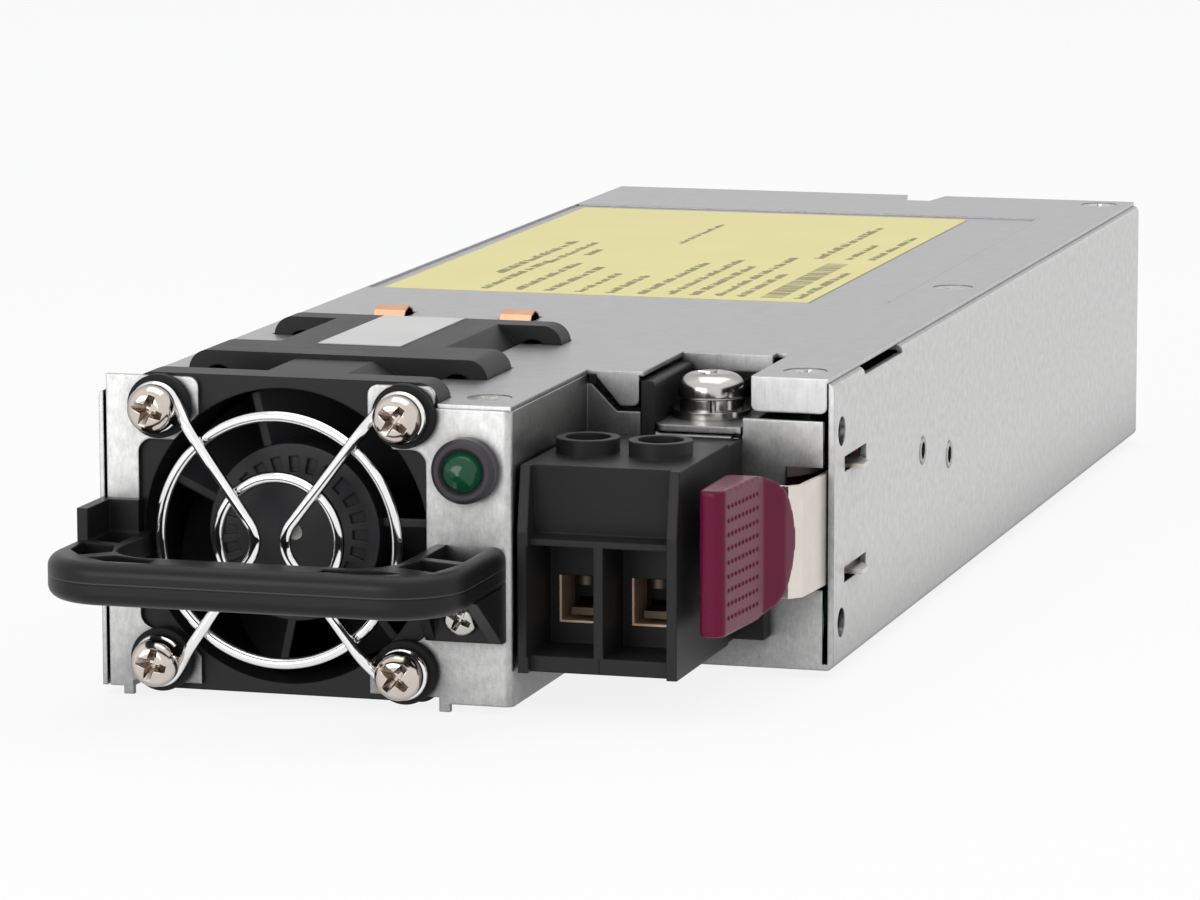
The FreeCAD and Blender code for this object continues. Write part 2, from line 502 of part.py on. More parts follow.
def makeShaft(label, front):
    body = newBody(label.title().replace("_", ""))
    prism(body, "Rod", "XZ_Plane", [("round", "0", "0", "shaftRadius")], "0.2",
          "frontLong - hubStandOff - 1.2" if front else "rearLong - hubStandOff - 7.2")
    return place(body, label, "fanAcross", shaftPlace(front), "fanUp", turn=0 if front else 180)


def makeMagnet(label, front):
    body = newBody(label.title().replace("_", ""))
    ring = [("round", "0", "0", "hubRadius - hubWall"),
            ("round", "0", "0", "hubRadius - hubWall - magnetThick")]
    prism(body, "Ring", "XZ_Plane", [ring[0], ring[1]], "5", "8")
    return place(body, label, "fanAcross", shaftPlace(front), "fanUp", turn=0 if front else 180)


def makeMotorParts():
    """Bearing sleeves and wound cores, one of each in either fan half."""
    frontTube = "frontLong - motorBase - tubeLong"
    sleeves = newBody("FanBearings")
    for name, start in (("FrontSleeve", frontTube + " + 0.2"), ("RearSleeve", "frontLong + motorBase - 0.2")):
        prism(sleeves, name, "XZ_Plane",
              [("round", "0", "0", "sleeveRadius"), ("round", "0", "0", "shaftRadius + runningGap")],
              start, "tubeLong - 0.2")
    place(sleeves, "fan_bearings", "fanAcross", "sheetThick", "fanUp")
    coils = newBody("FanCoils")
    for name, start in (("FrontCoil", frontTube + " + 1.6"), ("RearCoil", "frontLong + motorBase + 1.4")):
        prism(coils, name, "XZ_Plane",
              [("round", "0", "0", "coilRadius"), ("round", "0", "0", "tubeRadius")], start, "coilLong")
    place(coils, "fan_stators", "fanAcross", "sheetThick", "fanUp")


def makeGuard():
    """Two rings and, in front of them, two bent spokes whose ends loop round the fan screws."""
    radius = sizes["wireRadius"]
    eyeRadius = sizes["eyeRadius"]
    bend = sizes["apexBend"]
    reach = sizes["fanPitch"] / 2
    ringAt = -sizes["ringFront"]
    rise = Vector(0, -2 * radius - sizes["wireTouch"], 0)
    wires = [Part.makeTorus(sizes[ring], radius, Vector(0, ringAt, 0), Vector(0, 1, 0))
             for ring in ("outerRing", "innerRing")]
    for side, inset in ((-1, "apexInset"), (1, "apexRightInset")):
        apex = side * sizes[inset]
        eye = Vector(side * reach, ringAt, reach)
        slope = math.radians(45)
        for _ in range(5):
            corner = Vector(apex - side * (bend / math.sin(slope) - bend), ringAt, 0)
            toCorner = corner - eye
            slope = math.atan2(-toCorner.z, abs(toCorner.x)) + math.asin(eyeRadius / toCorner.Length)
        inward = Vector(-side * math.cos(slope), 0, -math.sin(slope))
        outward = Vector(side * math.sin(slope), 0, -math.cos(slope)) * -1
        loop = [eye + outward * (eyeRadius * math.cos(turnBy)) - inward * (eyeRadius * math.sin(turnBy))
                for turnBy in (math.radians(sizes["eyeTurn"]), math.radians(sizes["eyeTurn"]) / 2, 0)]
        lift = math.acos(1 + rise.y / (2 * sizes["liftRadius"]))
        spots = loop[:]
        for first in (True, False):
            near = spots[-1]
            for part in (0.5, 1):
                turn = lift * part
                if first:
                    along, up = math.sin(turn), 1 - math.cos(turn)
                else:
                    along = math.sin(lift) - math.sin(lift - turn)
                    up = math.cos(lift - turn) - math.cos(lift)
                spots.append(near + (inward * along + Vector(0, -up, 0)) * sizes["liftRadius"])
        centre = corner + rise + Vector(side * bend / math.sin(slope), 0, 0)
        spots.append(centre + Vector(-side * bend * math.sin(slope), 0, bend * math.cos(slope)))
        low = [Vector(p.x, p.y, -p.z) for p in spots]
        edges = []
        for run in (spots, low):
            bends = [Part.Arc(run[n], run[n + 1], run[n + 2]).toShape() for n in (0, 2, 4)]
            edges.append(bends + [Part.makeLine(run[6], run[7])])
        apexArc = Part.Arc(spots[7], Vector(apex, ringAt, 0) + rise, low[7]).toShape()
        path = Part.Wire(edges[0] + [apexArc] + edges[1][::-1])
        eyeTurn = math.radians(sizes["eyeTurn"])
        heading = inward * math.cos(eyeTurn) + outward * math.sin(eyeTurn)
        profile = Part.Wire([Part.makeCircle(radius, spots[0], heading)])
        wires.append(path.makePipeShell([profile], True, False))
    guard = doc.addObject("Part::Feature", "FingerGuard")
    guard.Shape = Part.makeCompound(wires)
    return place(guard, "finger_guard", "fanAcross", "0", "fanUp")


def makeFanScrews():
    """Four pan-head screws and the soft bushes behind their wire loops."""
    spots = [(across, up) for across in ("0", "fanPitch") for up in ("0", "fanPitch")]
    screws = newBody("FanScrews")
    prism(screws, "Heads", "XZ_Plane", [("round", a, b, "screwHead") for a, b in spots],
          "-screwFront", "screwHeadTall")
    roundRims(screws, "Domes", "headRound", "screwHead", "y", "-screwFront")
    prism(screws, "Shanks", "XZ_Plane", [("round", a, b, "screwShank") for a, b in spots],
          "-screwFront + screwHeadTall", "screwLong - screwHeadTall")
    place(screws, "fan_screws", "fanAcross - fanPitch / 2", "0", "fanUp - fanPitch / 2")
    bushes = newBody("FanBushes")
    loops = [("round", a, b, size) for a, b in spots for size in ("bushRadius", "bushHole")]
    prism(bushes, "Bush", "XZ_Plane", loops, "-bushThick", "bushThick")
    place(bushes, "fan_bushes", "fanAcross - fanPitch / 2", "0", "fanUp - fanPitch / 2")


def makeLight():
    """Bezel clipped in the front plate and the lens held in it."""
    bezel = newBody("LedBezel")
    turned(bezel, "Ring", "XY_Plane", [
        ("lensRadius", "-bezelProud + 0.4"), ("lensRadius + 0.4", "-bezelProud"),
        ("bezelRadius - 0.5", "-bezelProud"), ("bezelRadius", "-bezelProud + 0.6"), ("bezelRadius", "0"),
        ("barrelRadius", "0"), ("barrelRadius", "barrelLong"), ("lensRadius", "barrelLong")])
    place(bezel, "led_bezel", "lightAcross", "0", "lightUp")
    lens = newBody("LedLens")
    turned(lens, "Dome", "XY_Plane", [
        ("0", "-lensProud"), ("1.1", "-lensProud + 0.25"), ("2", "-lensProud + 0.9"),
        ("lensRadius", "-lensProud + 2"), ("lensRadius", "barrelLong - 0.5"), ("0", "barrelLong - 0.5")])
    place(lens, "led_lens", "lightAcross", "0", "lightUp")


def makeHandle():
    """Pull bar with its arms, the right foot with gusset and the left clip."""
    body = newBody("Handle")
    outer = [("0.3", "0"), ("handleLeft", "-6"), ("handleLeft", "-handleFront"),
             ("handleRight", "-handleFront"), ("handleRight", "0")]
    inner = [("gripLeft", "0"), ("gripLeft", "-handleFront + barDeep"),
             ("gripRight", "-handleFront + barDeep"), ("gripRight", "0")]
    bar = outer + inner[::-1]
    prism(body, "Bar", "XY_Plane", [bar], "barLow", "barHigh - barLow")
    soften(body, "OuterCorners", "handleCorner", [
        ("z", "handleLeft", "-handleFront"), ("z", "handleRight", "-handleFront")])
    soften(body, "GripCorners", "gripCorner", [
        ("z", "gripLeft", "-handleFront + barDeep"), ("z", "gripRight", "-handleFront + barDeep")])
    doc.recompute()
    base = body.Tip
    rims = []
    for n, edge in enumerate(base.Shape.Edges):
        box = edge.BoundBox
        if box.ZLength < 0.01 and box.YMax < value("-handleFront") + 0.1:
            rims.append("Edge%d" % (n + 1))
    rounding = body.newObject("PartDesign::Fillet", "BarRounding")
    rounding.Base = (base, rims)
    rounding.setExpression("Radius", bound("barRound"))
    prism(body, "ClipArm", "XZ_Plane", [rect("0.4", "1.8", "barHigh - 1", "lugArmHigh")], "-9", "9")
    prism(body, "ClipBack", "XZ_Plane", [rect("0.4", "gripLeft - 1.7", "barHigh - 1", "lugArmHigh")],
          "-footThick", "footThick")
    prism(body, "Foot", "XZ_Plane", [rect("gripRight - 1", "handleRight", "skirtLow", "barLow + 1")],
          "-footThick", "footThick")
    gusset = [("0", "skirtLow"), ("0", "barLow + 0.5"), ("-12", "barLow + 0.5"), ("-footThick", "skirtLow")]
    prism(body, "Gusset", "YZ_Plane", [gusset], "handleRight - skirtThick", "skirtThick")
    prism(body, "InnerGusset", "YZ_Plane",
          [[("0", "skirtLow"), ("0", "barLow + 0.5"), ("-7", "barLow + 0.5"), ("-footThick", "skirtLow")]],
          "gripRight - 1", "1.2")
    pockets = [
        [("pocketLeft", "1"), ("pocketLeft", "-9.2"), ("pocketRight", "-11"), ("pocketRight", "1")],
        [("pocketLeft + 0.4", "-11"), ("pocketRight", "-12.8"), ("pocketRight - 1.4", "-18.6"),
         ("pocketLeft - 1", "-16.4")],
        [("pocketLeft - 2.6", "-19.2"), ("pocketRight - 4.4", "-20.6"), ("pocketLeft - 2", "-22"),
         ("36.4", "-22"), ("36.4", "-20")],
        [("2.2", "-1.8"), ("gripLeft - 1.3", "-1.8"), ("gripLeft - 1.3", "-9.6"), ("2.2", "-8.6")],
        [("1.6", "-10.2"), ("gripLeft - 1.3", "-11.2"), ("gripLeft + 0.2", "-15.6"), ("4.4", "-18.6"),
         ("2", "-15.4")],
        [("gripLeft + 1.4", "-17.8"), ("14.8", "-20"), ("14.8", "-22"), ("9", "-22"), ("5.9", "-20")],
    ]
    carve(body, "TopPockets", "XY_Plane", pockets, "barHigh - pocketDeep", "pocketDeep + 1")
    carve(body, "ScrewHole", "XZ_Plane",
          [("round", "handleScrewAcross", "handleScrewUp", "handleScrewShank + 0.1")], "-3", "4")
    place(body, "handle")
    screw = newBody("HandleScrew")
    prism(screw, "Head", "XZ_Plane", [("round", "0", "0", "handleScrewHead")], "-footThick - handleScrewTall",
          "handleScrewTall")
    roundRims(screw, "Dome", "handleScrewRound", "handleScrewHead", "y", "-footThick - handleScrewTall")
    prism(screw, "Shank", "XZ_Plane", [("round", "0", "0", "handleScrewShank")], "-footThick",
          "footThick + handleScrewLong")
    place(screw, "handle_screw", "handleScrewAcross", "0", "handleScrewUp")


poles = ["poleAcross", "poleAcross + polePitch"]


def makeTerminals():
    """Pull-off plug with wire entries, cage clamps and screws, and the header behind it."""
    plug = newBody("TerminalPlug")
    profile = [("plugFront", "plugLow"), ("plugFront", "plugShelf"),
               ("plugFront + shelfDeep", "plugShelf + 0.4"), ("plugUpperFront", "plugTop"),
               ("plugBack", "plugTop"), ("plugBack", "plugLow")]
    prism(plug, "Block", "YZ_Plane", [profile], "plugLeft", "plugWide")
    flank = [("flankFront", "plugLow"), ("plugFront + 2", "plugLow"),
             ("plugFront + 2", "plugTop"), ("plugUpperFront - 1", "plugTop"),
             ("flankFront", "plugShelf + 1")]
    prism(plug, "LeftFlank", "YZ_Plane", [flank], "plugLeft", "flankThick")
    prism(plug, "RightFlank", "YZ_Plane", [flank], "plugLeft + plugWide - flankThick", "flankThick")
    prism(plug, "Collars", "XY_Plane",
          [("round", p, "collarDeep", "collarRadius") for p in poles], "plugTop", "collarTall")
    entries = [rect(p + " - entryWide / 2", p + " + entryWide / 2", "entryLow", "entryHigh") for p in poles]
    carve(plug, "Entries", "XZ_Plane", entries, "-1", "entryDeep + 1")
    chambers = [rect(p + " - entryWide / 2", p + " + entryWide / 2", "chamberLow", "entryHigh")
                for p in poles]
    carve(plug, "Chambers", "XZ_Plane", chambers, "entryDeep + entryWall",
          "chamberBack - entryDeep - entryWall")
    mouthHalf = "(entryWide / 2 - cageGap - cageWall)"
    mouths = [rect("%s - %s" % (p, mouthHalf), "%s + %s" % (p, mouthHalf),
                   "chamberLow + cageWall", "chamberLow + cageTall - cageWall") for p in poles]
    carve(plug, "Mouths", "XZ_Plane", mouths, "entryDeep - 0.1", "entryWall + 0.2")
    carve(plug, "Bores", "XY_Plane", [("round", p, "collarDeep", "collarBore") for p in poles],
          "entryHigh - 1", "plugTop + collarTall")
    sockets = [rect(p + " - pinWide / 2 - pinGap", p + " + pinWide / 2 + pinGap",
                    "pinUp - pinGap", "pinUp + pinThick + pinGap") for p in poles]
    carve(plug, "Sockets", "XZ_Plane", sockets, "chamberBack - 1", "plugBack")
    keys = [rect(p + " + keyOffset - keyHalf", p + " + keyOffset + keyHalf",
                 "keyFront", "keyFront + keyWide") for p in poles]
    carve(plug, "KeySlots", "XY_Plane", keys, "plugTop - 1", "2")
    place(plug, "terminal_plug")

    cages = newBody("CageClamps")
    wide = "(entryWide / 2 - cageGap)"
    low = "chamberLow"
    loops = []
    for p in poles:
        loops.append(rect(p + " - " + wide, p + " + " + wide, low, low + " + cageTall"))
        loops.append(rect(p + " - " + wide + " + cageWall", p + " + " + wide + " - cageWall",
                          low + " + cageWall", low + " + cageTall - cageWall"))
    prism(cages, "Cages", "XZ_Plane", loops, "cageFront", "cageLong")
    carve(cages, "ThreadHoles", "XY_Plane", [("round", p, "collarDeep", "cageHole") for p in poles],
          "chamberLow + cageTall - cageWall - 1", "4")
    place(cages, "cage_clamps")

    screws = newBody("ClampScrews")
    tip = "chamberLow + cageTall - cageWall - clampReach"
    for n, p in enumerate(poles):
        prism(screws, "Shank%s" % "AB"[n], "XY_Plane", [("round", p, "collarDeep", "clampShank")],
              tip, "clampTop - clampHeadTall - (%s)" % tip)
        prism(screws, "Head%s" % "AB"[n], "XY_Plane", [("round", p, "collarDeep", "clampHead")],
              "clampTop - clampHeadTall", "clampHeadTall")
    carve(screws, "Slots", "XY_Plane",
          [rect(p + " - 2.2", p + " + 2.2", "collarDeep - 0.4", "collarDeep + 0.4") for p in poles],
          "clampTop - 0.9", "2")
    place(screws, "clamp_screws")

    header = newBody("TerminalHeader")
    prism(header, "Block", "XZ_Plane",
          [rect("plugLeft + 0.6", "plugLeft + plugWide - 0.4", "plugLow", "headerTop")],
          "plugBack + headerGap", "recessDepth - plugBack - headerGap")
    prism(header, "Flange", "XZ_Plane",
          [rect("plugLeft + 0.2", "headerFlangeRight", "plugLow - 0.2", "headerFlangeHigh")],
          "recessDepth - headerFlangeThick", "headerFlangeThick")
    prism(header, "Spigot", "XZ_Plane",
          [rect("plugLeft + 2.6", "plugLeft + plugWide - 2.6", "6.2", "26.8")],
          "recessDepth", "sheetThick + 2")
    carve(header, "PinSlots", "XZ_Plane",
          [rect(p + " - pinWide / 2", p + " + pinWide / 2", "pinUp", "pinUp + pinThick") for p in poles],
          "plugBack - 1", "20")
    place(header, "terminal_header")

    pins = newBody("HeaderPins")
    blade = [("pinFront", "pinUp"), ("pinBack", "pinUp"), ("pinBack", "boardUp + boardThick"),
             ("pinBack + 1", "boardUp + boardThick"), ("pinBack + 1", "pinUp + pinThick"),
             ("pinFront", "pinUp + pinThick")]
    for n, p in enumerate(poles):
        prism(pins, "Blade%s" % "AB"[n], "YZ_Plane", [blade], p + " - pinWide / 2", "pinWide")
    place(pins, "header_pins")


def makeGroundScrew():
    """Screw, split washer, flat washer and the nut under the lug."""
    seat = "shelfUp + lugThick"
    split = seat + " + flatWasherThick"
    head = split + " + splitWasherThick"
    washer = newBody("GroundFlatWasher")
    prism(washer, "Ring", "XY_Plane", [("round", "0", "0", "flatWasher"), ("round", "0", "0", "washerBore")],
          "0", "flatWasherThick")
    place(washer, "ground_flat_washer", "lugAcross", "lugDeep", seat)
    spring = newBody("GroundSplitWasher")
    prism(spring, "Ring", "XY_Plane", [("round", "0", "0", "splitWasher"), ("round", "0", "0", "washerBore")],
          "0", "splitWasherThick")
    carve(spring, "Split", "XY_Plane", [[("1", "-6"), ("1.8", "-6"), ("1.2", "0"), ("0.4", "0")]], "-1", "4")
    place(spring, "ground_split_washer", "lugAcross", "lugDeep", split)
    screw = newBody("GroundScrew")
    prism(screw, "Head", "XY_Plane", [("round", "0", "0", "groundHead")], "0", "groundHeadTall")
    roundRims(screw, "Dome", "groundHeadRound", "groundHead", "z", "groundHeadTall")
    roundRims(screw, "HeadFoot", "0.5", "groundHead", "z", "0")
    prism(screw, "Shank", "XY_Plane", [("round", "0", "0", "groundShank")], "-groundLong", "groundLong")
    place(screw, "ground_screw", "lugAcross", "lugDeep", head)
    nut = newBody("GroundNut")
    turns = [math.radians(60 * n) for n in range(6)]
    corner = [("%.4f * groundNut" % math.cos(a), "%.4f * groundNut" % math.sin(a)) for a in turns]
    prism(nut, "Nut", "XY_Plane", [corner, ("round", "0", "0", "groundShank")], "0", "groundNutTall")
    place(nut, "ground_nut", "lugAcross", "lugDeep", "shelfUp - sheetThick - groundNutTall")


def makeLatch():
    """Spring strip with two barbs, its finger pad and the eyelets that hold it."""
    strip = newBody("LatchSpring")
    face = "width - sheetThick - latchGap"
    line = [(face, "latchTail"), (face, "32"), ("width - 1.65", "23.4"), ("width - 3.1", "21.7"),
            ("width - 4.9", "21.9"), ("width - 6.8", "18.4"), ("width - 7.3", "5")]
    inward = [(-1, 0), (-1, 0), (-1, 0.08), (-0.45, 0.9), (0.55, 1.1), (-1, 0.25), (-1, 0)]
    back = [("%s + %s * latchThick" % (a, dx), "%s + %s * latchThick" % (b, dy))
            for (a, b), (dx, dy) in zip(line, inward)]
    prism(strip, "Strip", "XY_Plane", [line + back[::-1]], "latchLow", "latchHigh - latchLow")
    barb = [(face + " - 0.3", "barbCatch"), (face + " + barbOut", "barbCatch"),
            (face + " + barbOut", "barbCatch + barbFlat"),
            (face + " - 0.3", "barbCatch + barbFlat + barbRamp - 0.6")]
    prism(strip, "LowBarb", "XY_Plane", [barb], "latchLow", "barbThick")
    prism(strip, "HighBarb", "XY_Plane", [barb], "latchHigh - barbThick", "barbThick")
    carve(strip, "Holes", "YZ_Plane",
          [("round", "eyeletFront", "eyeletFrontUp", "wallHoleRadius"),
           ("round", "eyeletBack", "eyeletBackUp", "wallHoleRadius")], "width - 3", "4")
    place(strip, "latch_spring")

    pad = newBody("LatchPad")
    inner = "width - padInset - padThick"
    outer = "width - padInset"
    plan = [(inner, "padFront"), (outer, "padFront"), (outer + " + 1.3", "padStraight"),
            (outer + " + 3.2", "19"), (outer + " + 3.9", "padReach"), (outer + " + 2.2", "padReach"),
            (outer + " + 0.2", "19.4"), (inner + " + 0.6", "17.4"), (inner, "padStraight")]
    prism(pad, "Block", "XY_Plane", [plan], "padLow", "padHigh - padLow")
    soften(pad, "Nose", "padRound", [("z", inner, "padFront"), ("z", outer, "padFront")])
    mid = "(padLow + padHigh) / 2"
    half = "(padHigh - padLow) / 2"
    rim = []
    for n in range(-6, 7):
        turnBy = math.radians(15 * n)
        rim.append(("padStraight - 2 + %.4f * (padReach - padStraight + 2)" % math.cos(turnBy),
                    "%s + %.4f * %s" % (mid, math.sin(turnBy), half)))
    outside = [("padStraight - 2", "padHigh + 3"), ("padReach + 4", "padHigh + 3"),
               ("padReach + 4", "padLow - 3"), ("padStraight - 2", "padLow - 3")]
    carve(pad, "RoundEnd", "YZ_Plane", [rim + outside], outer + " - 8", "20")
    carve(pad, "StripSlot", "XY_Plane", [line[3:] + back[3:][::-1]], "latchLow", "latchHigh - latchLow")
    place(pad, "latch_pad")

    eyelets = newBody("LatchEyelets")
    spots = [("eyeletFront", "eyeletFrontUp"), ("eyeletBack", "eyeletBackUp")]
    depth = "(sheetThick + latchGap + latchThick + eyeletThick)"
    for n, (deep, up) in enumerate(spots):
        prism(eyelets, "Barrel%s" % "AB"[n], "YZ_Plane", [("round", deep, up, "wallHoleRadius - eyeletGap")],
              "width - " + depth, depth + " + 0.1")
        prism(eyelets, "Lip%s" % "AB"[n], "YZ_Plane", [("round", deep, up, "eyeletLip")],
              "width - " + depth, "eyeletThick")
    carve(eyelets, "Bores", "YZ_Plane", [("round", deep, up, "eyeletBore") for deep, up in spots],
          "width - 6", "9")
    place(eyelets, "latch_eyelets")


def makeTrim():
    """Grounding springs, labels, cover screws and the insulator in the recess."""
    springs = newBody("GroundingSprings")
    start = "springStart"
    end = "springStart + springLong"
    mid = "springStart + springLong / 2"
    under = wallTop
    arch = [(start + " - springFoot", under), (start + " - springFoot", under + " - springThick"),
            (start + " + 0.3", under + " - springThick"), (start + " + 1.3", "springTop - 0.5 - springThick"),
            (mid, "springTop - springThick"), (end + " - 1.3", "springTop - 0.5 - springThick"),
            (end + " - 0.3", under + " - springThick"), (end + " + springFoot", under + " - springThick"),
            (end + " + springFoot", under), (end + " - 0.05", under),
            (end + " - 1.1", "springTop - 0.5"), (mid, "springTop"), (start + " + 1.1", "springTop - 0.5"),
            (start + " + 0.05", under)]
    for n in range(2):
        prism(springs, "Arch%s" % "AB"[n], "YZ_Plane", [arch], "springLeft + %d * springPitch" % n,
              "springWide")
    place(springs, "grounding_springs")
    label = newBody("RatingLabel")
    prism(label, "Sheet", "XY_Plane", [rect("labelLeft", "labelRight", "labelStart", "labelEnd")],
          "height - pressedDeep", "labelThick")
    place(label, "rating_label")
    fanLabel = newBody("FanLabel")
    prism(fanLabel, "Sheet", "XY_Plane",
          [rect("fanLabelLeft", "fanLabelRight", "fanLabelStart", "sheetThick + frontLong + rearLong - 0.8")],
          "fanUp + fanSize / 2", "labelThick")
    place(fanLabel, "fan_label")
    screws = newBody("CoverScrews")
    for n, (a, b) in enumerate(coverScrewSpots):
        prism(screws, "Shank%s" % "ABCD"[n], "XY_Plane", [("round", a, b, "coverScrewShank")],
              wallTop + " - coverScrewLong", "coverScrewLong")
        prism(screws, "Head%s" % "ABCD"[n], "XY_Plane", [("round", a, b, "coverScrewHead")],
              wallTop, "coverThick - 0.08")
    place(screws, "cover_screws")
    insulator = newBody("TerminalInsulator")
    prism(insulator, "Block", "XY_Plane",
          [rect("insulatorLeft", "insulatorRight", "recessDepth + 0.05", "insulatorBack")],
          "insulatorLow", "insulatorHigh - insulatorLow")
    soften(insulator, "TopEdge", "insulatorRound", [("y", "insulatorRight", "insulatorHigh")])
    place(insulator, "terminal_insulator")


boardTop = "boardUp + boardThick"


def makeInside():
    """Circuit board on stand-offs with the power parts, and the contacts at its rear edge."""
    board = newBody("MainBoard")
    inner = "width - sheetThick - latchGap - latchThick - 1.6"
    prism(board, "Board", "XY_Plane", [[
        (caseLeft + " + sheetThick + boardGap", "boardStart"), ("stepAcross", "boardStart"),
        ("stepAcross", "recessDepth + 6"), (inner, "recessDepth + 6"), (inner, "length - 10"),
        ("width / 2 + fingerWide / 2", "length - 10"), ("width / 2 + fingerWide / 2", "length"),
        ("width / 2 - fingerWide / 2", "length"), ("width / 2 - fingerWide / 2", "length - 10"),
        (caseLeft + " + sheetThick + boardGap", "length - 10")]], "0", "boardThick")
    place(board, "main_board", up="boardUp")
    fingers = newBody("EdgeContacts")
    pad = prism(fingers, "Finger", "XY_Plane",
                [rect("-fingerWide / 2 + 1", "-fingerWide / 2 + 2.8", "-fingerLong", "-0.4")],
                "0", "fingerThick")
    repeat(fingers, "Fingers", pad, "X_Axis", 18, "fingerPitch * 17")
    place(fingers, "edge_contacts", "width / 2", "0", boardTop, fromBack=True)
    stands = newBody("BoardStandoffs")
    spots = [("6", "66"), ("width - 7.4", "recessDepth + 15"), ("6", "length - 18"),
             ("width - 10.4", "length - 18"), ("width / 2", "130")]
    prism(stands, "Posts", "XY_Plane", [("round", a, b, "standRadius") for a, b in spots],
          "sheetThick", "boardUp - sheetThick")
    place(stands, "board_standoffs")
    bulk = newBody("BulkCapacitors")
    rows = [("round", "width - 13.4", b, "capRadius") for b in ("112", "133", "154")]
    prism(bulk, "Cans", "XY_Plane", rows, "0", "capTall")
    place(bulk, "bulk_capacitors", up=boardTop)
    small = newBody("OutputCapacitors")
    prism(small, "Cans", "XY_Plane",
          [("round", "%d" % (14 + 10 * n), "length - 19", "smallCapRadius") for n in range(6)],
          "0", "smallCapTall")
    place(small, "output_capacitors", up=boardTop)
    core = newBody("TransformerCore")
    prism(core, "Yoke", "YZ_Plane", [
        rect("-coreLong / 2", "coreLong / 2", "0", "coreTall"),
        rect("-coreLong / 2 + 5", "-4.5", "5", "coreTall - 5"),
        rect("4.5", "coreLong / 2 - 5", "5", "coreTall - 5")], "-coreWide / 4", "coreWide / 2")
    place(core, "transformer_core", "30", "182", boardTop)
    winding = newBody("TransformerWinding")
    prism(winding, "Coil", "XY_Plane", [
        rect("-coreWide / 2", "coreWide / 2", "-coreLong / 2 + 5.2", "coreLong / 2 - 5.2"),
        rect("-coreWide / 4 - 0.2", "coreWide / 4 + 0.2", "-4.7", "4.7")], "5.2", "coreTall - 10.4")
    place(winding, "transformer_winding", "30", "182", boardTop)
    chokes = newBody("FilterChokes")
    for n, (a, b) in enumerate((("width - 18.4", "58"), ("width - 18.4", "84"))):
        prism(chokes, "Ring%s" % "AB"[n], "XY_Plane",
              [("round", a, b, "windingRadius + 2"), ("round", a, b, "windingRadius / 3")], "0", "16")
    place(chokes, "filter_chokes", up=boardTop)
    inductor = newBody("OutputInductor")
    prism(inductor, "Block", "XY_Plane", [rect("-11", "11", "-9", "9")], "0", "18")
    place(inductor, "output_inductor", "width - 20.4", "length - 36", boardTop)
    sinks = newBody("HeatSinks")
    comb = [("0", "0"), ("sinkBase", "0")]
    for n in range(5):
        low = "4 + %d * finPitch" % n
        comb += [("sinkBase", low), ("sinkBase + finLong", low), ("sinkBase + finLong", low + " + finThick"),
                 ("sinkBase", low + " + finThick")]
    comb += [("sinkBase", "sinkTall"), ("0", "sinkTall")]
    for n, across in enumerate(("12", "38")):
        shifted = [("%s + %s" % (across, a), b) for a, b in comb]
        prism(sinks, "Sink%s" % "AB"[n], "XZ_Plane", [shifted], "84", "sinkLong")
    place(sinks, "heat_sinks", up=boardTop)
    switches = newBody("PowerSwitches")
    loops = []
    for across in ("12", "38"):
        for n in range(4):
            at = "92 + %d * 16" % n
            loops.append(rect(across + " - 4.4", across, at, at + " + 10"))
    prism(switches, "Packages", "XY_Plane", loops, "4", "15")
    place(switches, "power_switches", up=boardTop)


makeChassis()
makeCover()
makeFanFrame("fan_frame_front", True)
makeFanFrame("fan_frame_rear", False)
makeRotor("fan_rotor_front", True)
makeRotor("fan_rotor_rear", False)
makeShaft("fan_shaft_front", True)
makeShaft("fan_shaft_rear", False)
makeMagnet("fan_magnet_front", True)
makeMagnet("fan_magnet_rear", False)
makeMotorParts()
makeGuard()
makeFanScrews()
makeLight()
makeHandle()
makeTerminals()
makeGroundScrew()
makeLatch()
makeTrim()
makeInside()

doc.recompute()
for thing in doc.Objects:
    if "Invalid" in thing.State or "Error" in thing.State:
        raise ValueError("%s does not rebuild: %s" % (thing.Name, thing.State))
for node in nodes:
    if node.Shape.isNull() or not node.Shape.isValid():
        raise ValueError("%s has no sound shape" % node.Label)
    node.Shape.exportStep("parts/%s.step" % node.Label)
    print("%-22s solids %2d  volume %9.1f" % (node.Label, len(node.Shape.Solids), node.Shape.Volume))
print("nodes %d" % len(nodes))
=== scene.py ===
import bpy, bmesh, json, math, random
from mathutils import Matrix, Vector


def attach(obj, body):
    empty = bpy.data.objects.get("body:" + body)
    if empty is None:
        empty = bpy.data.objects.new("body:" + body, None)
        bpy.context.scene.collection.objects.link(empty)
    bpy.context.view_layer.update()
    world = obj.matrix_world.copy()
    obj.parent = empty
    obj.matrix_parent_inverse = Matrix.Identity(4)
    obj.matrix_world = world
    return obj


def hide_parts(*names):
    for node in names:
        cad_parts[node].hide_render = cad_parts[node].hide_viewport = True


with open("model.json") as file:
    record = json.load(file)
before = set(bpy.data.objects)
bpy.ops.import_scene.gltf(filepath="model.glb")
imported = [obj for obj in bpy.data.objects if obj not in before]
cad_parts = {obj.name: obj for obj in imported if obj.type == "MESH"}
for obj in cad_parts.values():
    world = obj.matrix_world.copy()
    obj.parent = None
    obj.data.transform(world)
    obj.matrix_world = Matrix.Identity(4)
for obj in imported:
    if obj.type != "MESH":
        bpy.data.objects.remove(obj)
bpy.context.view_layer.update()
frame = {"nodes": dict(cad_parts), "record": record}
nodes = frame["nodes"]
mm = 0.001
print("frame loaded:", len(nodes), "nodes")

# the case, in millimetres; the frame's origin is the middle of its underside
case = {"width": 86.4, "length": 233.0, "height": 37.5}


def place(across, deep, up):
    # millimetres from the case's left front bottom corner, to metres in the frame
    return Vector((across - case["width"] / 2, deep - case["length"] / 2, up)) * mm


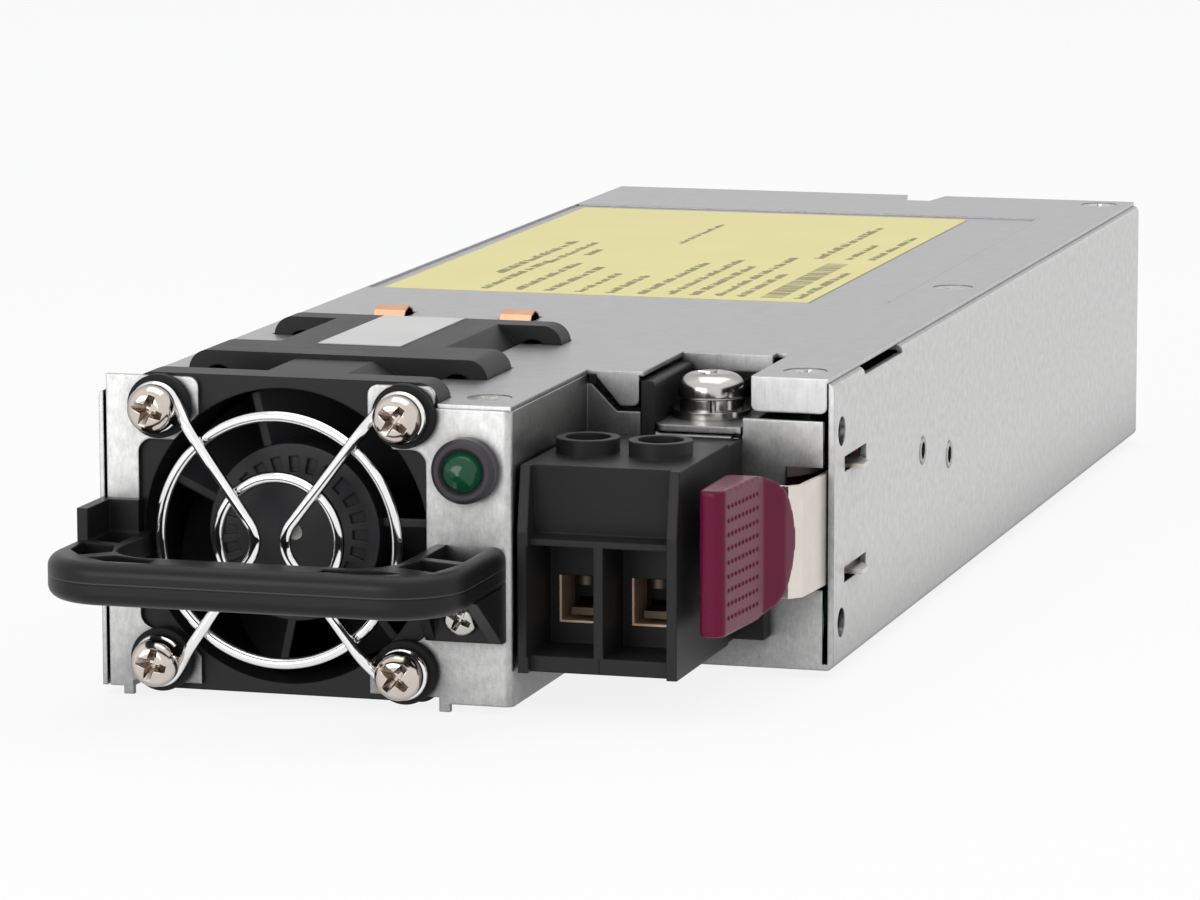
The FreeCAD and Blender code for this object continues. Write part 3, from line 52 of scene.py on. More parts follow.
def linear(hexText, alpha=1.0):
    # sRGB hex to linear, as Blender's colour sockets want it
    parts = [int(hexText[i:i + 2], 16) / 255 for i in (1, 3, 5)]
    return tuple(p / 12.92 if p <= 0.04045 else ((p + 0.055) / 1.055) ** 2.4 for p in parts) + (alpha,)


# node helpers

def addNode(tree, kind, settings=None, **links):
    # one node, its settings, and its inputs given as values or as other nodes' outputs;
    # an input is named by its label, or by its number as in0, in1 and so on
    made = tree.nodes.new("ShaderNode" + kind)
    for key, value in (settings or {}).items():
        setattr(made, key, value)
    for key, value in links.items():
        numbered = key.startswith("in") and key[2:].isdigit()
        socket = made.inputs[int(key[2:]) if numbered else key.replace("_", " ")]
        if isinstance(value, bpy.types.NodeSocket):
            tree.links.new(value, socket)
        else:
            socket.default_value = value
    return made


def calculate(tree, operation, *values):
    # one sum on plain values or on other nodes' outputs
    inputs = {"in%d" % k: value for k, value in enumerate(values)}
    return addNode(tree, "Math", {"operation": operation}, **inputs).outputs[0]


def rescale(tree, value, low=0.0, high=1.0, start=0.0, end=1.0):
    # maps the span from start to end onto low to high
    return addNode(tree, "MapRange", Value=value, in1=start, in2=end, in3=low, in4=high).outputs[0]


def blendValues(tree, factor, first, second):
    return addNode(tree, "Mix", in0=factor, in2=first, in3=second).outputs[0]


def blendColours(tree, factor, under, over, blend="MIX"):
    # each colour is a hex text or another node's output
    under, over = (linear(tint) if isinstance(tint, str) else tint for tint in (under, over))
    settings = {"data_type": "RGBA", "blend_type": blend}
    return addNode(tree, "Mix", settings, in0=factor, in6=under, in7=over).outputs[2]


def seenDirectly(tree, path):
    # 1 for what the camera sees, straight or in a mirror
    return calculate(tree, "MAXIMUM", path.outputs["Is Camera Ray"], path.outputs["Is Glossy Ray"])


# camera, lamps and surroundings

# eye in millimetres in the frame, angles in degrees
view = {"azimuth": 16.32, "elevation": 9.12, "roll": -0.12, "lens": 171.64, "sensor": 36,
        "nearest": 0.01, "eye": (215.23, -776.51, 143.06)}


def buildCamera():
    az, el, roll = (math.radians(view[k]) for k in ("azimuth", "elevation", "roll"))
    ahead = Vector((-math.sin(az) * math.cos(el), math.cos(az) * math.cos(el), -math.sin(el)))
    right = Vector((math.cos(az), math.sin(az), 0))
    up = right.cross(ahead)
    across = right * math.cos(roll) + up * math.sin(roll)
    upright = up * math.cos(roll) - right * math.sin(roll)
    data = bpy.data.cameras.new("camera")
    data.lens = view["lens"]
    data.sensor_width = view["sensor"]
    data.clip_start = view["nearest"]
    camera = bpy.data.objects.new("camera", data)
    turn = Matrix((across, upright, -ahead)).transposed().to_4x4()
    camera.matrix_world = Matrix.Translation(Vector(view["eye"]) * mm) @ turn
    bpy.context.scene.collection.objects.link(camera)
    bpy.context.scene.camera = camera


# a wide box light above, a large one from the front right, a low one before the fan face;
# metres and watts; a lamp that isn't mirrored only brightens dull faces, so the lid doesn't
# burn out when it is seen from behind
lamps = {"topLight": {"spot": (0.05, 0.0, 0.9), "target": (0.0, 0.0, 0.0), "size": 0.9,
                      "power": 3.0, "mirrored": True},
         "keyLight": {"spot": (0.75, -0.75, 0.5), "target": (0.0, -0.05, 0.02), "size": 1.1,
                      "power": 3.4, "mirrored": False},
         "fillLight": {"spot": (-0.4, -1.1, 0.12), "target": (0.0, -0.12, 0.02), "size": 0.7,
                       "power": 6.2, "mirrored": True}}


def buildLamps():
    for name, settings in lamps.items():
        data = bpy.data.lights.new(name, "AREA")
        data.shape = "SQUARE"
        data.size = settings["size"]
        data.energy = settings["power"]
        lamp = bpy.data.objects.new(name, data)
        spot = Vector(settings["spot"])
        lamp.location = spot
        lamp.rotation_euler = (Vector(settings["target"]) - spot).to_track_quat("-Z", "Y").to_euler()
        lamp.visible_glossy = settings["mirrored"]
        bpy.context.scene.collection.objects.link(lamp)


surroundings = {"tint": "#F4F6FA", "light": 0.6}


def buildWorld():
    # pale surroundings light the part; lens, metal and glass see plain white
    world = bpy.data.worlds.new("studioWorld")
    bpy.context.scene.world = world
    world.use_nodes = True
    tree = world.node_tree
    tree.nodes.clear()
    path = addNode(tree, "LightPath")
    seen = calculate(tree, "MAXIMUM", seenDirectly(tree, path), path.outputs["Is Transmission Ray"])
    light = addNode(tree, "Background", Color=linear(surroundings["tint"]),
                    Strength=surroundings["light"])
    white = addNode(tree, "Background", Color=(1, 1, 1, 1), Strength=1.0)
    mix = addNode(tree, "MixShader", in0=seen, in1=light.outputs[0], in2=white.outputs[0])
    addNode(tree, "OutputWorld", Surface=mix.outputs[0])


# half its width in metres, and how far below the frame's origin it lies in millimetres
sweep = {"half": 4.0, "under": 1.05, "paper": "#F2F2F2", "roughness": 0.9, "glow": 0.86}


def buildFloor():
    # white sweep under the part, keeping a soft shadow
    mesh = bpy.data.meshes.new("studioFloor")
    half, low = sweep["half"], -sweep["under"] * mm
    corners = [(-half, -half, low), (half, -half, low), (half, half, low), (-half, half, low)]
    mesh.from_pydata(corners, [], [(0, 1, 2, 3)])
    floor = bpy.data.objects.new("studioFloor", mesh)
    bpy.context.scene.collection.objects.link(floor)
    paint, tree = newMaterial("white paper sweep")
    seen = calculate(tree, "MULTIPLY", seenDirectly(tree, addNode(tree, "LightPath")), sweep["glow"])
    matte = addNode(tree, "BsdfPrincipled", Base_Color=linear(sweep["paper"]),
                    Roughness=sweep["roughness"])
    glow = addNode(tree, "Emission", Color=(1, 1, 1, 1), Strength=1.0)
    mix = addNode(tree, "MixShader", in0=seen, in1=matte.outputs[0], in2=glow.outputs[0])
    addNode(tree, "OutputMaterial", Surface=mix.outputs[0])
    mesh.materials.append(paint)


# materials; sizes in their settings are in millimetres

def newMaterial(name):
    made = bpy.data.materials.new(name)
    made.use_nodes = True
    made.node_tree.nodes.clear()
    return made, made.node_tree


def perMetre(sizeInMm):
    # pattern scale for a feature of that real size
    return 1 / (sizeInMm * mm)


def finishMaterial(tree, height, settings, **sockets):
    # shader with rounded edges, and relief taken from the pattern's height
    rounded = addNode(tree, "Bevel", {"samples": 4}, Radius=settings["edgeRound"] * mm)
    bump = addNode(tree, "Bump", Strength=settings["bump"], Distance=settings["relief"] * mm,
                   Height=height, Normal=rounded.outputs[0])
    shader = addNode(tree, "BsdfPrincipled", Normal=bump.outputs[0], **sockets)
    addNode(tree, "OutputMaterial", Surface=shader.outputs[0])


def galvanisedSteel(name, dark, light, settings):
    # cold rolled galvanised sheet: satin grey with a fine mottled spangle, drawn out a little
    # across the top and up the walls; upward faces are darkened with painted shade
    made, tree = newMaterial(name)
    where = addNode(tree, "TexCoord").outputs["Object"]
    facing = addNode(tree, "SeparateXYZ", Vector=addNode(tree, "NewGeometry").outputs["Normal"])
    lying = calculate(tree, "GREATER_THAN", facing.outputs["Z"], settings["lyingFrom"])
    fine, coarse = perMetre(settings["lineGap"]), perMetre(settings["lineLong"])
    onTop, onWall = (addNode(tree, "Mapping", Vector=where, Scale=scale).outputs[0]
                     for scale in ((coarse, fine, fine), (fine, fine, coarse)))
    upright, flat = (addNode(tree, "TexNoise", Vector=way, Scale=1.0, Detail=4.0).outputs["Fac"]
                     for way in (onWall, onTop))
    rolled = blendValues(tree, lying, upright, flat)
    cloud = addNode(tree, "TexNoise", Vector=where, Scale=perMetre(settings["cloudSize"]), Detail=6.0,
                    Roughness=settings["cloudRoughness"]).outputs["Fac"]
    both = blendValues(tree, settings["cloudShare"], rolled, cloud)
    mottle = rescale(tree, both, start=settings["mottleFrom"], end=settings["mottleTo"])
    colour = blendColours(tree, mottle, dark, light)
    # painted shade: faces that look upward are multiplied by a darker grey, so the top reads darker than
    # the walls
    colour = blendColours(tree, lying, colour, settings["lyingTint"], "MULTIPLY")
    # stands for the dark reflections in the recess and along the seams
    clear = addNode(tree, "AmbientOcclusion", {"samples": 4}, Distance=settings["nookReach"] * mm)
    nook = rescale(tree, clear.outputs["AO"], settings["nookShade"], 0.0,
                   settings["nookFull"], settings["nookNone"])
    colour = blendColours(tree, nook, colour, settings["nookTint"])
    rough = rescale(tree, cloud, settings["roughLow"], settings["roughHigh"])
    finishMaterial(tree, both, settings, Base_Color=colour, Metallic=1.0, Roughness=rough)
    return made


def mouldedPlastic(name, dark, light, settings):
    # injection moulded nylon or ABS: fine spark-eroded grain, slightly uneven sheen
    made, tree = newMaterial(name)
    where = addNode(tree, "TexCoord").outputs["Object"]
    relief, tone = (addNode(tree, "TexNoise", Vector=where, Scale=perMetre(settings[key]),
                            Detail=3.0).outputs["Fac"] for key in ("grainSize", "toneSize"))
    colour = blendColours(tree, tone, dark, light)
    rough = rescale(tree, tone, settings["roughLow"], settings["roughHigh"])
    if "seam" in settings:
        # the mould's parting line at that height: a dark line, and a pale painted highlight just above it
        up = addNode(tree, "SeparateXYZ", Vector=where).outputs["Z"]
        for mark in seamLineAndHighlight:
            line = calculate(tree, "COMPARE", up, (settings["seam"] + mark["above"]) * mm,
                             mark["half"] * mm)
            relief = calculate(tree, "MULTIPLY_ADD", line, mark["step"], relief)
            colour = blendColours(tree, line, colour, mark["tint"])
    finishMaterial(tree, relief, settings, Base_Color=colour, Roughness=rough, IOR=1.5,
                   Specular_IOR_Level=settings["shine"], Coat_Weight=settings["coat"],
                   Coat_Roughness=0.08)
    return made


def platedMetal(name, dark, light, settings):
    # plated or turned metal: fine haze over a bright base, with painted shade, darker where the face
    # turns away
    made, tree = newMaterial(name)
    where = addNode(tree, "TexCoord").outputs["Object"]
    haze = addNode(tree, "TexNoise", Vector=where, Scale=perMetre(settings["hazeSize"]),
                   Detail=4.0).outputs["Fac"]
    colour = blendColours(tree, haze, dark, light)
    away = addNode(tree, "LayerWeight", Blend=0.5).outputs["Facing"]
    # painted shade: the colour darkens towards a near black where the face turns away from the view, for
    # the dark rims of plated metal
    turned = rescale(tree, away, 0.0, settings["edgeShade"], settings["edgeFrom"], settings["edgeTo"])
    colour = blendColours(tree, turned, colour, settings["edgeTint"])
    rough = rescale(tree, haze, settings["roughLow"], settings["roughHigh"])
    finishMaterial(tree, haze, settings, Base_Color=colour, Metallic=settings["metallic"],
                   Roughness=rough)
    return made


# the tint for upward faces is painted shade that darkens the top
sheetSteel = {"cloudSize": 1.6, "cloudShare": 0.6, "cloudRoughness": 0.72, "lineGap": 0.34,
              "lineLong": 1.1, "mottleFrom": 0.34, "mottleTo": 0.66, "roughLow": 0.3, "roughHigh": 0.46,
              "bump": 0.3, "relief": 0.012, "edgeRound": 0.3, "lyingFrom": 0.7, "lyingTint": "#D8D8DA",
              "nookReach": 16, "nookShade": 0.9, "nookFull": 0.25, "nookNone": 0.85,
              "nookTint": "#3A3A3B"}
coverSteel = dict(sheetSteel, lineLong=3.2, lineGap=0.28, lyingTint="#D0D0D2")
moulded = {"grainSize": 0.3, "toneSize": 14, "roughLow": 0.42, "roughHigh": 0.55, "bump": 0.3,
           "relief": 0.03, "edgeRound": 0.3, "shine": 0.24, "coat": 0.0}
# the parting line's dark line, then a painted highlight as a pale line 0.2 mm above it
seamLineAndHighlight = ({"above": 0.0, "half": 0.1, "step": 3.0, "tint": "#050505"},
             {"above": 0.2, "half": 0.08, "step": 0.0, "tint": "#38383A"})
# the edge settings paint shade where a face turns away from the view
plated = {"hazeSize": 3.0, "roughLow": 0.16, "roughHigh": 0.3, "bump": 0.1, "relief": 0.01,
          "edgeRound": 0.12, "edgeShade": 0.3, "edgeFrom": 0.3, "edgeTo": 0.85, "edgeTint": "#1C1B1A",
          "metallic": 1.0}

# each finish: what it is, its darker and lighter colour, and what sets it apart from its kind
sheets = {
    "case_steel": ("galvanised case sheet", "#B7B7B6", "#D8D8D7", sheetSteel),
    "cover_steel": ("galvanised cover sheet", "#B6B6B7", "#D2D2D2", coverSteel)}
plastics = {
    # glass-filled nylon of the fan frames: dull black
    "black_plastic": ("fan frame nylon", "#131314", "#1B1B1C", {}),
    "rotor_plastic": ("rotor PBT", "#222224", "#2C2C2E", {"roughLow": 0.28, "roughHigh": 0.4}),
    # the handle's mould parts at mid height
    "handle_plastic": ("handle nylon", "#111112", "#171719",
                       {"roughLow": 0.34, "roughHigh": 0.46, "seam": 17.3}),
    "terminal_plastic": ("terminal polyamide", "#1B1B1C", "#242425",
                         {"roughLow": 0.4, "roughHigh": 0.5, "shine": 0.18}),
    "bush_rubber": ("soft bush rubber", "#151515", "#1E1E1E", {"roughLow": 0.65, "roughHigh": 0.8}),
    "pad_burgundy": ("glossy burgundy ABS", "#560B2A", "#661033",
                     {"roughLow": 0.24, "roughHigh": 0.32, "bump": 0.08, "coat": 0.05, "shine": 0.12}),
    "lens_green": ("tinted lens acrylic", "#073623", "#0C4E34",
                   {"roughLow": 0.1, "roughHigh": 0.16, "bump": 0.0, "coat": 0.2}),
    "magnet": ("pressed ferrite", "#2B2A29", "#3A3938", {"roughLow": 0.6, "roughHigh": 0.75}),
    "label_yellow": ("pale yellow label film", "#DDD28A", "#E6DC9C",
                     {"roughLow": 0.45, "roughHigh": 0.55, "bump": 0.1, "edgeRound": 0.05}),
    "label_silver": ("silver label film", "#B9B9B6", "#D2D2CF",
                     {"roughLow": 0.35, "roughHigh": 0.45, "bump": 0.1, "edgeRound": 0.05}),
    "board_laminate": ("green epoxy laminate", "#12452A", "#1C5A38", {"roughLow": 0.3, "roughHigh": 0.4}),
    "can_sleeve": ("shrink sleeve", "#1B2233", "#283148", {"roughLow": 0.25, "roughHigh": 0.35}),
    # satin collar round the status light, paler than the fan
    "light_collar": ("light collar nylon", "#312E32", "#3E3B3F", {"roughLow": 0.3, "roughHigh": 0.4}),
    "print_grey": ("grey label print", "#77735A", "#8A8668",
                   {"roughLow": 0.5, "roughHigh": 0.6, "edgeRound": 0.02}),
    # painted shadow: black for the plug's slits and seam, which are in shadow
    "mark_black": ("shadowed slit", "#050505", "#0B0B0B",
                   {"roughLow": 0.7, "roughHigh": 0.8, "edgeRound": 0.02})}
metals = {
    "bright_steel": ("zinc plated steel", "#B4B2AE", "#D2D0CC",
                     {"roughLow": 0.12, "roughHigh": 0.24, "edgeShade": 0.7}),
    "guard_chrome": ("bright chromed wire", "#E6E6E6", "#F5F5F5",
                     {"roughLow": 0.05, "roughHigh": 0.1, "bump": 0.02, "edgeShade": 0.85}),
    "screw_nickel": ("nickel plated screw", "#C4B9B0", "#DCD2CA",
                     {"roughLow": 0.1, "roughHigh": 0.18, "edgeShade": 0.75}),
    "latch_steel": ("nickelled spring strip", "#D2CAC2", "#E8E1DA",
                    {"roughLow": 0.24, "roughHigh": 0.36, "edgeShade": 0.12}),
    "contact_copper": ("copper alloy strip", "#D39C78", "#F0BE9C", {"roughLow": 0.24, "roughHigh": 0.36}),
    "contact_gold": ("gold flashed contact", "#D9B45A", "#EBCB7C", {}),
    "sleeve_brass": ("turned brass", "#C2A25A", "#D8BB74", {}),
    "winding_copper": ("enamelled winding", "#8A4B24", "#B36A38", {}),
    "sink_aluminium": ("extruded aluminium", "#A9ABAE", "#C6C8CB", {"roughLow": 0.3, "roughHigh": 0.45}),
    # pale drawn brass of the wire cages, and the dull pins and screw tips inside them
    "cage_brass": ("drawn cage brass", "#D2AF93", "#EED2B6",
                   {"roughLow": 0.4, "roughHigh": 0.55, "metallic": 0.35, "edgeShade": 0.0}),
    "pin_dull": ("dull tinned pin", "#4E453C", "#665A4E", {"roughLow": 0.4, "roughHigh": 0.55})}
# nodes that look different from the finish of their slot
ownFinish = {"led_bezel": "light_collar", "cage_clamps": "cage_brass", "header_pins": "pin_dull",
             "clamp_screws": "pin_dull"}
paints = {}


def buildMaterials():
    kinds = ((sheets, galvanisedSteel, {}), (plastics, mouldedPlastic, moulded),
             (metals, platedMetal, plated))
    for finishes, make, common in kinds:
        for key, (name, dark, light, changes) in finishes.items():
            paints[key] = make(name, dark, light, dict(common, **changes))
    for part in frame["record"]["subparts"]:
        node = nodes[part["node"]]
        node.data.materials.clear()
        node.data.materials.append(paints[ownFinish.get(part["node"], part["material_slot"])])


# mesh helpers

def newPiece(name, corners, faces, paint, slotName, body):
    # one mesh object with its finish, carried by a body
    mesh = bpy.data.meshes.new(name)
    mesh.from_pydata([tuple(c) for c in corners], [], faces)
    mesh.validate()
    made = bpy.data.objects.new(name, mesh)
    bpy.context.scene.collection.objects.link(made)
    mesh.materials.append(paints[paint])
    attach(made, body)
    return made


def joinShapes(shapes):
    # corners and faces of several closed shapes as one list of each
    corners, faces = [], []
    for more, rows in shapes:
        faces += [[len(corners) + k for k in row] for row in rows]
        corners += more
    return corners, faces


def smoothByAngle(mesh, limit):
    # round faces shade smoothly, edges sharper than the limit in degrees stay crisp
    shape = bmesh.new()
    shape.from_mesh(mesh)
    for face in shape.faces:
        face.smooth = True
    for edge in shape.edges:
        edge.smooth = len(edge.link_faces) == 2 and edge.calc_face_angle(0) < math.radians(limit)
    shape.to_mesh(mesh)
    shape.free()


# the welding distance in millimetres, and the shading limits in degrees
meshing = {"weld": 0.0004, "turnedLimit": 32, "softLimit": 60}


def weldedCopy(nodeName, name):
    # the closed skin of a CAD node as a separate object
    shape = bmesh.new()
    shape.from_mesh(nodes[nodeName].data)
    bmesh.ops.remove_doubles(shape, verts=shape.verts, dist=meshing["weld"] * mm)
    corners = [v.co.copy() for v in shape.verts]
    faces = [[v.index for v in f.verts] for f in shape.faces]
    shape.free()
    mesh = bpy.data.meshes.new(name)
    mesh.from_pydata(corners, [], faces)
    made = bpy.data.objects.new(name, mesh)
    bpy.context.scene.collection.objects.link(made)
    return made


def takePlace(made, nodeName, paint, body, limit):
    # applies the modifiers of a copy and puts it in its CAD node's place
    bpy.context.view_layer.update()
    result = bpy.data.meshes.new_from_object(made.evaluated_get(bpy.context.evaluated_depsgraph_get()))
    made.modifiers.clear()
    made.data = result
    smoothByAngle(result, limit)
    result.materials.clear()
    result.materials.append(paints[paint])
    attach(made, body)
    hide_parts(nodeName)


# screws; millimetres from the case's corner, turns in degrees

# how far a cutter stands out of the head, and how much of an arm's width is left at its tip
crossShape = {"above": 0.6, "tip": 0.75}


def crossCutter(centre, outward, turn, settings):
    # a tapered cross that sinks into a screw head
    outward = Vector(outward)
    side = Matrix.Rotation(math.radians(turn), 3, outward) @ outward.orthogonal().normalized()
    up = outward.cross(side)
    arm, half = settings["arm"], settings["half"]
    tip = half * crossShape["tip"]
    plan = []
    for quarter in range(4):
        angle = math.radians(90 * quarter)
        for a, b in ((half, half), (arm, tip), (arm, -tip)):
            plan.append((a * math.cos(angle) + b * math.sin(angle),
                         a * math.sin(angle) - b * math.cos(angle)))
    corners = []
    for share, depth in ((1.0, crossShape["above"]), (1.0, 0.0), (settings["taper"], -settings["deep"])):
        corners += [centre + (side * (x * share) + up * (y * share) + outward * depth) * mm
                    for x, y in plan]
    count = len(plan)
    faces = [list(range(count))[::-1], list(range(2 * count, 3 * count))]
    for level in (0, count):
        for k in range(count):
            after = (k + 1) % count
            faces.append([level + k, level + after, level + count + after, level + count + k])
    return corners, faces


def crossScrews(nodeName, name, paint, outward, settings):
    # screws of a CAD node with driver crosses cut in their heads
    made = weldedCopy(nodeName, name)
    corners, faces = joinShapes(crossCutter(place(*spot), outward, turn, settings)
                                for spot, turn in settings["spots"])
    mesh = bpy.data.meshes.new(name + "Cutter")
    mesh.from_pydata([tuple(c) for c in corners], [], faces)
    shape = bmesh.new()
    shape.from_mesh(mesh)
    bmesh.ops.recalc_face_normals(shape, faces=shape.faces)
    shape.to_mesh(mesh)
    shape.free()
    cutter = bpy.data.objects.new(name + "Cutter", mesh)
    bpy.context.scene.collection.objects.link(cutter)
    cut = made.modifiers.new("crosses", "BOOLEAN")
    cut.operation = "DIFFERENCE"
    cut.solver = "EXACT"
    cut.object = cutter
    takePlace(made, nodeName, paint, "case", meshing["turnedLimit"])
    bpy.data.objects.remove(cutter)


forward, upward = (0, -1, 0), (0, 0, 1)
fanScrews = {"arm": 2.2, "half": 0.62, "taper": 0.3, "deep": 1.8,
             "spots": (((8.3, -5.3, 35.9), 24), ((40.3, -5.3, 35.9), 8),
                       ((8.3, -5.3, 3.9), 30), ((40.3, -5.3, 3.9), 4))}
handleScrew = {"arm": 1.7, "half": 0.45, "taper": 0.35, "deep": 1.3, "spots": (((48, -3.3, 11.4), 18),)}
groundScrew = {"arm": 2.4, "half": 0.6, "taper": 0.35, "deep": 1.7, "spots": (((68.0, 41.5, 36.5), 30),)}
coverScrews = {"arm": 1.7, "half": 0.45, "taper": 0.6, "deep": 0.5,
               "spots": (((49.0, 6.7, 37.42), 12), ((81.0, 39.1, 37.42), 35),
                         ((81.0, 123.9, 37.42), 20), ((81.0, 228.0, 37.42), 50))}


def buildScrews():
    crossScrews("fan_screws", "fanScrewHeads", "screw_nickel", forward, fanScrews)
    crossScrews("handle_screw", "handleScrewHead", "bright_steel", forward, handleScrew)
    crossScrews("ground_screw", "groundScrewHead", "bright_steel", upward, groundScrew)
    crossScrews("cover_screws", "coverScrewHeads", "bright_steel", upward, coverScrews)


# pad

padRounding = {"skin": 0.18, "pull": 0.5, "passes": 24, "kept": 0.3}


def buildPad():
    # the pad with its moulded edges rounded over
    made = weldedCopy("latch_pad", "latchPadRounded")
    skin = made.modifiers.new("skin", "REMESH")
    skin.mode = "VOXEL"
    skin.voxel_size = padRounding["skin"] * mm
    soft = made.modifiers.new("edges", "SMOOTH")
    soft.factor = padRounding["pull"]
    soft.iterations = padRounding["passes"]
    fewer = made.modifiers.new("fewer", "DECIMATE")
    fewer.ratio = padRounding["kept"]
    takePlace(made, "latch_pad", "pad_burgundy", "latch", meshing["softLimit"])


# the dotted field lies on the pad's sloping outer face, which is at this place across where it
# begins; each dot is a dome of three rings, given as share of its radius and of its height
padGrip = {"rows": 9, "columns": 9, "firstDeep": 3.2, "lastDeep": 13.4, "low": 12.0, "high": 25.8,
           "face": 80.4, "faceFront": 1.0, "slope": 1.3 / 14.4, "radius": 0.34, "proud": 0.16,
           "rounds": 10, "rings": ((1.0, -0.05), (0.8, 0.6), (0.45, 0.92))}


def gripDot(across, deep, up):
    rounds, radius, proud = padGrip["rounds"], padGrip["radius"], padGrip["proud"]
    corners, faces = [], []
    for share, height in padGrip["rings"]:
        for k in range(rounds):
            angle = 2 * math.pi * k / rounds
            corners.append(place(across + height * proud, deep + share * radius * math.cos(angle),
                                 up + share * radius * math.sin(angle)))
    corners.append(place(across + proud, deep, up))
    pairs = [(k, (k + 1) % rounds) for k in range(rounds)]
    top = rounds * (len(padGrip["rings"]) - 1)
    for a in range(0, top, rounds):
        faces += [(a + k, a + after, a + rounds + after, a + rounds + k) for k, after in pairs]
    faces += [(top + k, top + after, top + rounds) for k, after in pairs]
    return corners, faces


def buildPadDots():
    # rows of small raised grip dots on the pad's outer face
    grip = padGrip
    tall, wide = grip["high"] - grip["low"], grip["lastDeep"] - grip["firstDeep"]
    dots = []
    for row in range(grip["rows"]):
        up = grip["low"] + tall * row / (grip["rows"] - 1)
        for column in range(grip["columns"]):
            deep = grip["firstDeep"] + wide * column / (grip["columns"] - 1)
            dots.append(gripDot(grip["face"] + (deep - grip["faceFront"]) * grip["slope"], deep, up))
    made = newPiece("padGripDots", *joinShapes(dots), "pad_burgundy", "pad_burgundy", "latch")
    smoothByAngle(made.data, meshing["softLimit"])


# plug, cover and label details; all in millimetres from the case's corner

def slab(low, high):
    # corners and faces of a box between two places
    (a, b, c), (d, e, f) = place(*low), place(*high)
    corners = [(a, b, c), (d, b, c), (d, e, c), (a, e, c), (a, b, f), (d, b, f), (d, e, f), (a, e, f)]
    faces = [(0, 3, 2, 1), (4, 5, 6, 7), (0, 1, 5, 4), (1, 2, 6, 5), (2, 3, 7, 6), (3, 0, 4, 7)]
    return corners, faces


def slabs(name, boxes, paint, slotName, body):
    # several boxes, each given by its two far corners, as one piece
    return newPiece(name, *joinShapes(slab(*box) for box in boxes), paint, slotName, body)


cageMouth = {"poles": (59.6, 69.0), "half": 2.95, "low": 8.9, "high": 14.9, "front": 11.05,
             "back": 11.85, "lip": 0.28}


def buildCageMouths():
    # the drawn lips of the wire cages, just inside the plug's two openings: left, bottom, right
    low, high, lip = cageMouth["low"], cageMouth["high"], cageMouth["lip"]
    boxes = []
    for pole in cageMouth["poles"]:
        left, right = pole - cageMouth["half"], pole + cageMouth["half"]
        for start, end, top in ((left, left + lip, high), (left + lip, right - lip, low + lip),
                                (right - lip, right, high)):
            boxes.append(((start, cageMouth["front"], low), (end, cageMouth["back"], top)))
    slabs("cageMouthLips", boxes, "cage_brass", "contact_copper", "plug")


# painted shadow: places and sizes of the black sheets for the plug's slits and seam
plugSlitShadows = {"slits": ((57.95, 7.6), (67.95, 7.6)), "slitLong": 2.7, "slitWide": 0.8, "top": 30.0,
             "seam": 64.4, "seamHalf": 0.08, "seamFront": 2.0, "seamLow": 4.4, "seamHigh": 6.25,
             "proud": 0.01}


def buildPlugSlitShadows():
    # painted shadow: thin black sheets on the plug's top and front, standing for the keying slits and the
    # seam between its two halves
    slitShadows = plugSlitShadows
    boxes = [((left, deep, slitShadows["top"]),
              (left + slitShadows["slitLong"], deep + slitShadows["slitWide"], slitShadows["top"] + slitShadows["proud"]))
             for left, deep in slitShadows["slits"]]
    boxes.append(((slitShadows["seam"] - slitShadows["seamHalf"], slitShadows["seamFront"] - slitShadows["proud"],
                   slitShadows["seamLow"]),
                  (slitShadows["seam"] + slitShadows["seamHalf"], slitShadows["seamFront"], slitShadows["seamHigh"])))
    slabs("plugSlitShadows", boxes, "mark_black", "terminal_plastic", "plug")


crease = {"right": 75.8, "start": 106.0, "end": 206.6, "half": 0.35, "proud": 0.07, "rows": 5}


def buildCrease():
    # rounded edge of the cover's pressed field, along its right side
    corners, faces = [], []
    for step in range(crease["rows"]):
        share = -1 + 2 * step / (crease["rows"] - 1)
        across = crease["right"] + share * crease["half"]
        up = case["height"] + crease["proud"] * (1 - share * share)
        corners += [place(across, crease["start"], up), place(across, crease["end"], up)]
    for a in range(0, 2 * (crease["rows"] - 1), 2):
        faces.append((a, a + 2, a + 3, a + 1))
    line = newPiece("coverCrease", corners, faces, "cover_steel", "cover_steel", "case")
    smoothByAngle(line.data, meshing["softLimit"])


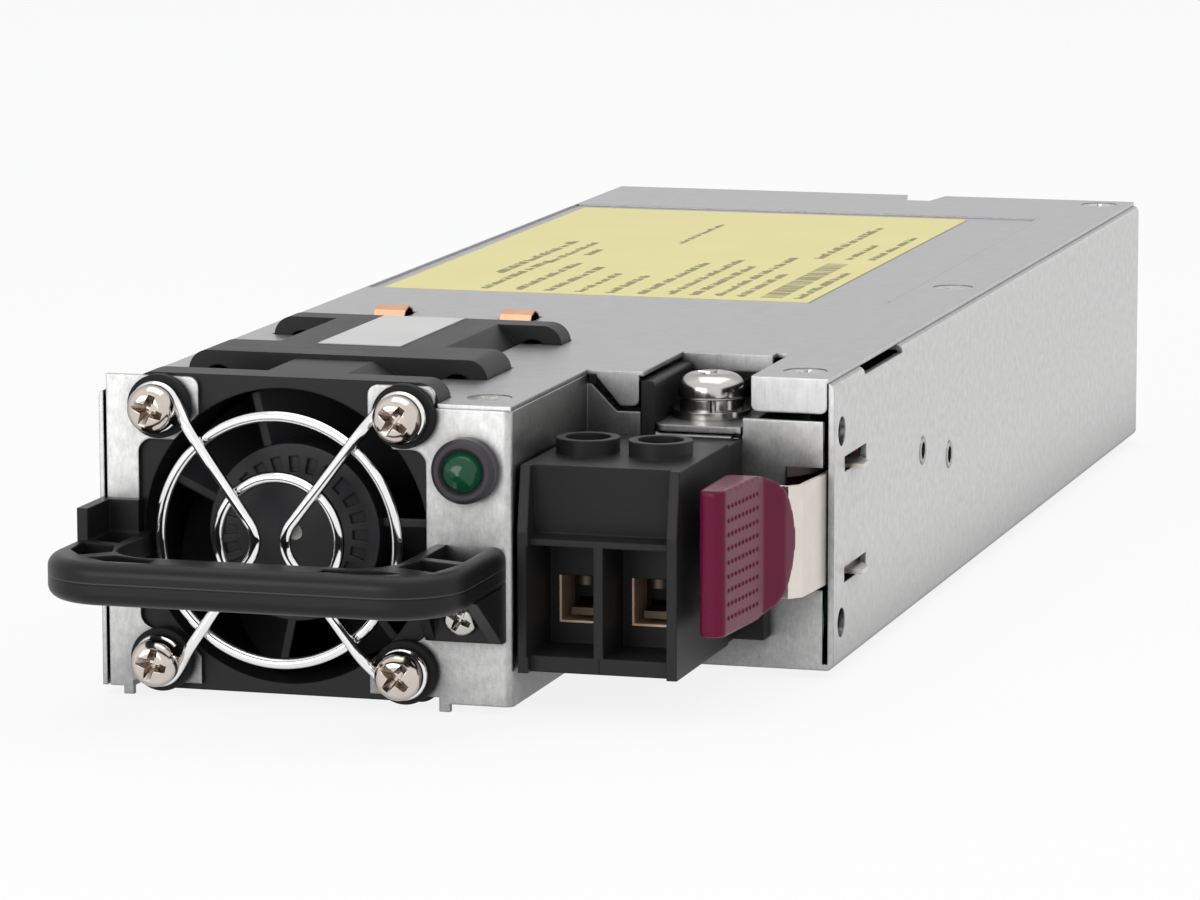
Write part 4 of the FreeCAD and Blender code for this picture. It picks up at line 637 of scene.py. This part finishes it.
labelPrint = {"low": 37.37, "thick": 0.02, "seed": 7,
              # across, start, end and height of each printed line; the lines run front to back
              "lines": ((14.0, 123, 163, 1.5), (17.5, 136, 158, 1.2), (20.5, 146, 153, 1.2),
                        (17.0, 106, 137, 1.3), (22.0, 106, 131, 1.3), (26.5, 106, 133, 1.3),
                        (31.0, 106, 126, 1.3), (35.5, 106, 127, 1.3), (40.0, 106, 139, 1.3),
                        (44.0, 107, 146, 1.3), (47.5, 107, 141, 1.3), (51.0, 107, 152, 1.3),
                        (54.2, 107, 129, 1.3), (62.6, 107, 132, 1.3), (30.0, 163, 187, 1.0),
                        (54.5, 151, 190, 1.4), (59.0, 151, 163, 1.1), (62.5, 151, 178, 1.1)),
              "wordMarks": (3, 8), "markLong": (0.35, 0.75), "markGap": 0.28, "wordGap": (0.5, 1.0),
              "drops": (0, 0, 0.25, 0.4), "lineEndSlack": 1,
              "codeLeft": 57.2, "codeRight": 60.4, "codeStart": 107, "codeEnd": 146,
              "codeBars": (0.35, 0.55, 0.9), "codeGaps": (0.4, 0.6, 0.9)}


def buildLabelPrint():
    # generic bars in place of the label's print
    text = labelPrint
    chance = random.Random(text["seed"])
    low, high = text["low"], text["low"] + text["thick"]
    boxes = []
    for across, start, end, tall in text["lines"]:
        at = start
        while at < end - text["lineEndSlack"]:
            for _ in range(chance.randint(*text["wordMarks"])):
                step = chance.uniform(*text["markLong"])
                drop = chance.choice(text["drops"]) * tall
                boxes.append(((across - tall / 2 + drop, at, low), (across + tall / 2, at + step, high)))
                at += step + text["markGap"]
            at += chance.uniform(*text["wordGap"])
    at = text["codeStart"]
    while at < text["codeEnd"]:
        step = chance.choice(text["codeBars"])
        boxes.append(((text["codeLeft"], at, low), (text["codeRight"], at + step, high)))
        at += step + chance.choice(text["codeGaps"])
    slabs("ratingLabelBars", boxes, "print_grey", "label_yellow", "case")


buildCamera()
buildLamps()
buildWorld()
buildFloor()
print("camera, lamps and surroundings")
buildMaterials()
print("materials:", len(paints))
buildScrews()
print("screws with driver crosses")
buildPad()
buildPadDots()
print("pad and its grip dots")
buildCageMouths()
buildPlugSlitShadows()
buildCrease()
buildLabelPrint()
print("cage lips, plug marks, cover crease and label bars")

bpy.context.scene.view_settings.view_transform = "Standard"
bpy.context.view_layer.update()
